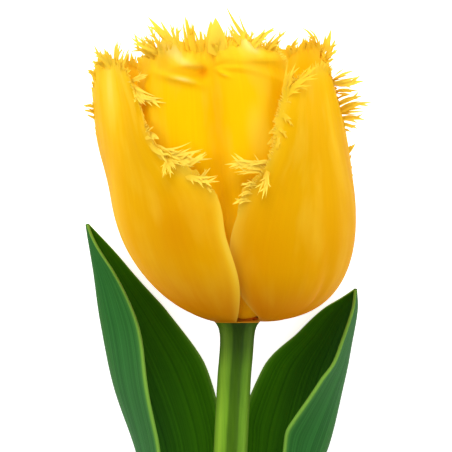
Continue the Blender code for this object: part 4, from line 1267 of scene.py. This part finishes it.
def add(tree, kind, sockets, **settings):
    """A node with its settings; a socket gets a value or a link."""
    node = tree.nodes.new(kind)
    for key, value in settings.items():
        setattr(node, key, value)
    for key, value in sockets.items():
        if isinstance(value, bpy.types.NodeSocket):
            tree.links.new(value, node.inputs[key])
        else:
            node.inputs[key].default_value = value
    return node


def arithmetic(tree, operation, a, b=0.0, c=0.0, clamp=False):
    """One step of arithmetic on values or sockets."""
    node = add(tree, "ShaderNodeMath", {0: a, 1: b, 2: c}, operation=operation, use_clamp=clamp)
    return node.outputs[0]


def mixed(tree, factor, a, b, mode="MIX"):
    """A mix of two colours, each a socket or (red, green, blue)."""
    a, b = (c if isinstance(c, bpy.types.NodeSocket) else (*c, 1.0) for c in (a, b))
    return add(
        tree, "ShaderNodeMix", {0: factor, 6: a, 7: b}, data_type="RGBA", blend_type=mode
    ).outputs[2]


def ramp(tree, factor, stops):
    """A colour ramp through stops of (place, (red, green, blue))."""
    node = add(tree, "ShaderNodeValToRGB", {0: factor})
    node.color_ramp.interpolation = "EASE"
    elements = node.color_ramp.elements
    while len(elements) < len(stops):
        elements.new(0.5)
    for element, (place, colour) in zip(elements, stops):
        element.position = place
        element.color = (*colour, 1.0)
    return node.outputs[0]


def noise(tree, vector, scale, detail=3.0, roughness=0.55):
    """A cloudy value between 0 and 1."""
    return add(
        tree, "ShaderNodeTexNoise",
        {"Vector": vector, "Scale": scale, "Detail": detail, "Roughness": roughness},
    ).outputs[0]


def stretched(tree, vector, scale):
    """A vector multiplied by (x, y, z)."""
    return add(tree, "ShaderNodeVectorMath", {0: vector, 1: scale}, operation="MULTIPLY").outputs[0]


def bumped(tree, shader, height, distance):
    """Raises a shader's surface by a height of up to a distance in mm."""
    node = add(tree, "ShaderNodeBump", {"Strength": 1.0, "Distance": distance * MM, "Height": height})
    tree.links.new(node.outputs[0], shader.inputs["Normal"])


def attribute(tree, name):
    """A value that each point of a mesh holds."""
    return add(tree, "ShaderNodeAttribute", {}, attribute_name=name).outputs["Fac"]


def surface_uv(tree):
    """A piece's own places across and along it, from 0 to about 1."""
    return add(tree, "ShaderNodeUVMap", {}, uv_map="surface").outputs[0]


def petal_finish(name, stops, through):
    """A tepal: colours along it from the claw to the top, fine lengthwise
    veins, soft clouds, pale patches that show more towards the top, painted
    shade in creases, pockets and shaded hollows, painted highlights on lit folds
    and lips and painted light over shade, lemon yellow towards the tips of the
    fringe, satin, and letting a share of the light through."""
    finish, tree, shader = new_finish(name, 0.5, 0.018)
    uv = surface_uv(tree)
    parts = add(tree, "ShaderNodeSeparateXYZ", {0: uv})
    tip, pale, painted_shade = (attribute(tree, key) for key in ("tip", "pale", "painted_shade"))
    veins = noise(tree, stretched(tree, uv, (75.0, 2.2, 1.0)), 1.0, 3.0)
    cells = noise(tree, stretched(tree, uv, (7.0, 5.0, 1.0)), 1.0, 2.0)
    along = ramp(tree, parts.outputs[1], stops)
    dark = mixed(tree, 1.0, along, VEIN_TINT, "MULTIPLY")
    vein = arithmetic(tree, "MULTIPLY_ADD", veins, 1.6, -0.35, clamp=True)
    body = mixed(tree, arithmetic(tree, "MULTIPLY", vein, 0.7), along, dark)
    cloud = arithmetic(tree, "MULTIPLY_ADD", cells, 1.4, -0.5, clamp=True)
    body = mixed(tree, arithmetic(tree, "MULTIPLY", cloud, 0.5), body, dark)
    patches = noise(tree, stretched(tree, uv, (6.0, 3.0, 1.0)), 1.0, 3.0)
    patch = arithmetic(tree, "MULTIPLY_ADD", patches, 3.6, -1.75, clamp=True)
    body = mixed(tree, arithmetic(tree, "MULTIPLY", patch, parts.outputs[1]), body, PATCH_COLOUR)
    # Painted shade: darker colour in creases, pockets and shaded hollows.
    body = mixed(tree, painted_shade, body, mixed(tree, 1.0, body, PAINTED_SHADE_TINT, "MULTIPLY"))
    # Painted light: colour lightened towards whitish lemon, as painted highlights on lit folds and lips
    # and painted light over shade.
    painted_light_colour = ramp(
        tree, pale, ((0.3, (0.97, 0.66, 0.004)), (0.6, (0.98, 0.73, 0.05)), (1.0, (0.99, 0.84, 0.26)))
    )
    body = mixed(tree, pale, body, painted_light_colour)
    lemon = mixed(tree, arithmetic(tree, "POWER", tip, 0.8, clamp=True), body, LEMON)
    tree.links.new(lemon, shader.inputs["Base Color"])
    bumped(tree, shader, veins, 0.05)
    glow = add(tree, "ShaderNodeBsdfTranslucent", {"Color": lemon})
    mix = add(tree, "ShaderNodeMixShader", {0: through, 1: shader.outputs[0], 2: glow.outputs[0]})
    tree.links.new(mix.outputs[0], tree.nodes["Material Output"].inputs[0])
    return finish


def stem_finish():
    """A green stem with painted shade along its top and underside and painted
    light along its sides, fine streaks, a painted shadow of the bloom over its
    end under the bloom, pale on its cut end and yellow on the receptacle."""
    finish, tree, shader = new_finish("stem skin", 0.45, 0.1)
    place = add(tree, "ShaderNodeTexCoord", {}).outputs["Object"]
    streaks = noise(tree, stretched(tree, place, (1900.0, 60.0, 1900.0)), 1.0, 3.0)
    clouds = noise(tree, stretched(tree, place, (120.0, 40.0, 120.0)), 1.0, 2.0)
    # Painted shade along the stem's top and underside and painted light along its sides, by where around
    # the stem each point lies.
    across = attribute(tree, "across")
    across = arithmetic(tree, "MULTIPLY_ADD", clouds, 0.12, across)
    colour = ramp(
        tree, arithmetic(tree, "MULTIPLY_ADD", across, 0.5, 0.47, clamp=True),
        (
            (0.0, (0.13, 0.27, 0.02)),
            (0.16, (0.23, 0.42, 0.025)),
            (0.32, (0.15, 0.31, 0.012)),
            (0.42, (0.052, 0.13, 0.002)),
            (0.66, (0.052, 0.13, 0.002)),
            (0.76, (0.12, 0.27, 0.012)),
            (0.88, (0.16, 0.33, 0.02)),
            (1.0, (0.12, 0.25, 0.02)),
        ),
    )
    dim = ramp(tree, streaks, ((0.3, (0.82, 0.85, 0.8)), (0.7, (1.0, 1.0, 1.0))))
    colour = mixed(tree, 1.0, colour, dim, "MULTIPLY")
    parts = add(tree, "ShaderNodeSeparateXYZ", {0: place})
    # Painted shadow of the bloom: the colour darkens towards the stem's end under the bloom.
    below = arithmetic(tree, "MULTIPLY_ADD", parts.outputs[1], -40.0, BLOOM_BASE[1] * 0.04, clamp=True)
    shade = ramp(
        tree, below,
        (
            (0.0, (0.36, 0.38, 0.24)),
            (0.2, (0.44, 0.46, 0.3)),
            (0.5, (0.75, 0.78, 0.7)),
            (1.0, (1.0, 1.0, 1.0)),
        ),
    )
    colour = mixed(tree, 1.0, colour, shade, "MULTIPLY")
    crown = arithmetic(tree, "GREATER_THAN", parts.outputs[1], (BLOOM_BASE[1] + 0.1) * MM)
    colour = mixed(tree, crown, colour, RECEPTACLE_COLOUR)
    cut_at = (BLOOM_BASE[1] - STEM_LENGTH + 0.35) * MM
    cut = arithmetic(tree, "LESS_THAN", parts.outputs[1], cut_at)
    pores = noise(tree, place, 2200.0, 2.0)
    pith = ramp(tree, pores, ((0.35, (0.34, 0.42, 0.14)), (0.65, (0.62, 0.66, 0.36))))
    colour = mixed(tree, cut, colour, pith)
    tree.links.new(colour, shader.inputs["Base Color"])
    bumped(tree, shader, streaks, 0.08)
    return finish


def leaf_finish(name, stops, dim, specular):
    """A leaf's face: colours across it from the far margin over the keel to
    the near one, fine parallel veins that are dimmer by turns, and thin pale
    margins."""
    finish, tree, shader = new_finish(name, 0.5, specular)
    uv = surface_uv(tree)
    parts = add(tree, "ShaderNodeSeparateXYZ", {0: uv})
    veins = noise(tree, stretched(tree, uv, (80.0, 1.0, 1.0)), 1.0, 4.0)
    clouds = noise(tree, stretched(tree, uv, (5.0, 5.0, 1.0)), 1.0, 3.0)
    place = arithmetic(tree, "MULTIPLY_ADD", clouds, 0.24, parts.outputs[0])
    colour = ramp(tree, arithmetic(tree, "SUBTRACT", place, 0.12, clamp=True), stops)
    dimmed = mixed(tree, 1.0, colour, dim, "MULTIPLY")
    vein = arithmetic(tree, "MULTIPLY_ADD", veins, 3.2, -1.1, clamp=True)
    colour = mixed(tree, vein, colour, dimmed)
    edge = arithmetic(tree, "MULTIPLY", attribute(tree, "edge"), 0.8)
    colour = mixed(tree, edge, colour, LEAF_EDGE_COLOUR)
    tree.links.new(colour, shader.inputs["Base Color"])
    bumped(tree, shader, veins, 0.1)
    return finish


def grain_finish(name, dark, light, scale, roughness, depth):
    """A finish whose colour varies between two with a fine grain."""
    finish, tree, shader = new_finish(name, roughness, 0.3)
    place = add(tree, "ShaderNodeTexCoord", {}).outputs["Object"]
    grain = noise(tree, place, scale, 4.0)
    tree.links.new(ramp(tree, grain, ((0.35, dark), (0.65, light))), shader.inputs["Base Color"])
    bumped(tree, shader, grain, depth)
    return finish


# ---------------------------------------------------------------------------
# Table, light and camera
# ---------------------------------------------------------------------------


def make_floor():
    """A wide pale table top just under the part."""
    turns = ((-1, -1), (1, -1), (1, 1), (-1, 1))
    corners = np.array([(x * TABLE_HALF, y * TABLE_HALF, -TABLE_DROP) for x, y in turns])
    finish, _, shader = new_finish("pale table", 0.9, 0.1)
    shader.inputs["Base Color"].default_value = (0.93, 0.93, 0.93, 1.0)
    shader.inputs["Emission Color"].default_value = (1.0, 1.0, 1.0, 1.0)
    shader.inputs["Emission Strength"].default_value = 0.7
    floor = store("table", corners, np.array([[0, 1, 2, 3]]), finish)


def soft_light(name, place, aim, size, power, colour=(1.0, 1.0, 1.0)):
    """A square soft light at a place, turned towards what it lights."""
    light = bpy.data.lights.new(name, "AREA")
    light.shape = "SQUARE"
    light.size = size * MM
    light.energy = power
    light.color = colour
    obj = in_scene(name, light)
    place, aim = np.asarray(place, float), np.asarray(aim, float)
    obj.location = place * MM
    back = unit(place - aim)
    right = unit(np.cross((0.0, 1.0, 0.3), back))
    up = np.cross(back, right)
    obj.rotation_euler = Matrix(np.stack([right, up, back], -1).tolist()).to_euler()


def make_light():
    """A large soft light on each side of the bloom, a stronger one beyond its
    mouth and an even pale surround."""
    aim = VIEW_CENTRE
    soft_light("left softbox", aim + (-600.0, 120.0, 640.0), aim, 520.0, 2.8)
    soft_light("right softbox", aim + (620.0, 40.0, 540.0), aim, 460.0, 1.95)
    soft_light("top softbox", aim + (-60.0, 520.0, 660.0), aim, 420.0, 3.9)
    world = bpy.data.worlds.new("surround")
    bpy.context.scene.world = world
    world.use_nodes = True
    background = world.node_tree.nodes["Background"]
    background.inputs["Color"].default_value = (1.0, 1.0, 1.0, 1.0)
    background.inputs["Strength"].default_value = 0.52


def make_camera():
    """A long lens high above the bloom, looking straight down with the bloom
    upright in the picture."""
    camera = bpy.data.cameras.new("camera")
    camera.sensor_width = SENSOR_WIDTH
    camera.lens = SENSOR_WIDTH * CAMERA_HEIGHT / VIEW_WIDTH
    camera.clip_start = 0.05
    camera.clip_end = 50.0
    obj = in_scene("camera", camera)
    obj.location = (VIEW_CENTRE + (0.0, 0.0, CAMERA_HEIGHT)) * MM
    bpy.context.scene.camera = obj


# ---------------------------------------------------------------------------
# The flower
# ---------------------------------------------------------------------------

outer_petal = petal_finish(
    "outer petal",
    (
        (0.0, (0.62, 0.22, 0.0)),
        (0.14, (0.76, 0.29, 0.0)),
        (0.38, (0.86, 0.45, 0.0)),
        (0.7, (0.87, 0.5, 0.001)),
        (1.0, (0.95, 0.61, 0.003)),
    ),
    0.3,
)
inner_petal = petal_finish(
    "inner petal",
    (
        (0.0, (0.8, 0.34, 0.002)),
        (0.2, (0.94, 0.5, 0.0015)),
        (0.5, (0.98, 0.62, 0.001)),
        (0.8, (0.97, 0.66, 0.001)),
        (1.0, (0.98, 0.68, 0.006)),
    ),
    0.34,
)
for tepal_name, tepal_shape in TEPALS.items():
    make_tepal(tepal_name, tepal_shape, outer_petal if "outer" in tepal_name else inner_petal)

make_stem(stem_finish())
leaf_outside = leaf_finish(
    "leaf outside",
    (
        (0.0, (0.03, 0.14, 0.01)),
        (0.5, (0.03, 0.14, 0.014)),
        (0.75, (0.026, 0.14, 0.024)),
        (1.0, (0.03, 0.15, 0.024)),
    ),
    (0.5, 0.58, 0.55), 0.02,
)
leaf_inside = leaf_finish(
    "leaf inside",
    (
        (0.0, (0.055, 0.22, 0.001)),
        (0.25, (0.04, 0.17, 0.004)),
        (0.5, (0.026, 0.125, 0.014)),
        (1.0, (0.024, 0.115, 0.012)),
    ),
    (0.5, 0.6, 0.6), 0.025,
)
for leaf_name, leaf_shape in LEAVES.items():
    make_leaf(leaf_name, leaf_shape, leaf_outside, leaf_inside)

filament_skin = grain_finish("filament skin", (0.7, 0.52, 0.08), (0.86, 0.7, 0.2), 900.0, 0.5, 0.03)
pollen = grain_finish("pollen", (0.28, 0.13, 0.015), (0.55, 0.31, 0.05), 2500.0, 0.9, 0.1)
for stamen in range(STAMEN_COUNT):
    make_stamen(stamen, filament_skin, pollen)
make_pistil(
    grain_finish("ovary skin", (0.36, 0.46, 0.12), (0.52, 0.6, 0.22), 700.0, 0.45, 0.03),
    grain_finish("stigma skin", (0.72, 0.6, 0.2), (0.88, 0.8, 0.42), 1800.0, 0.7, 0.08),
)

make_floor()
make_light()
make_camera()
bpy.context.scene.view_settings.view_transform = "Standard"
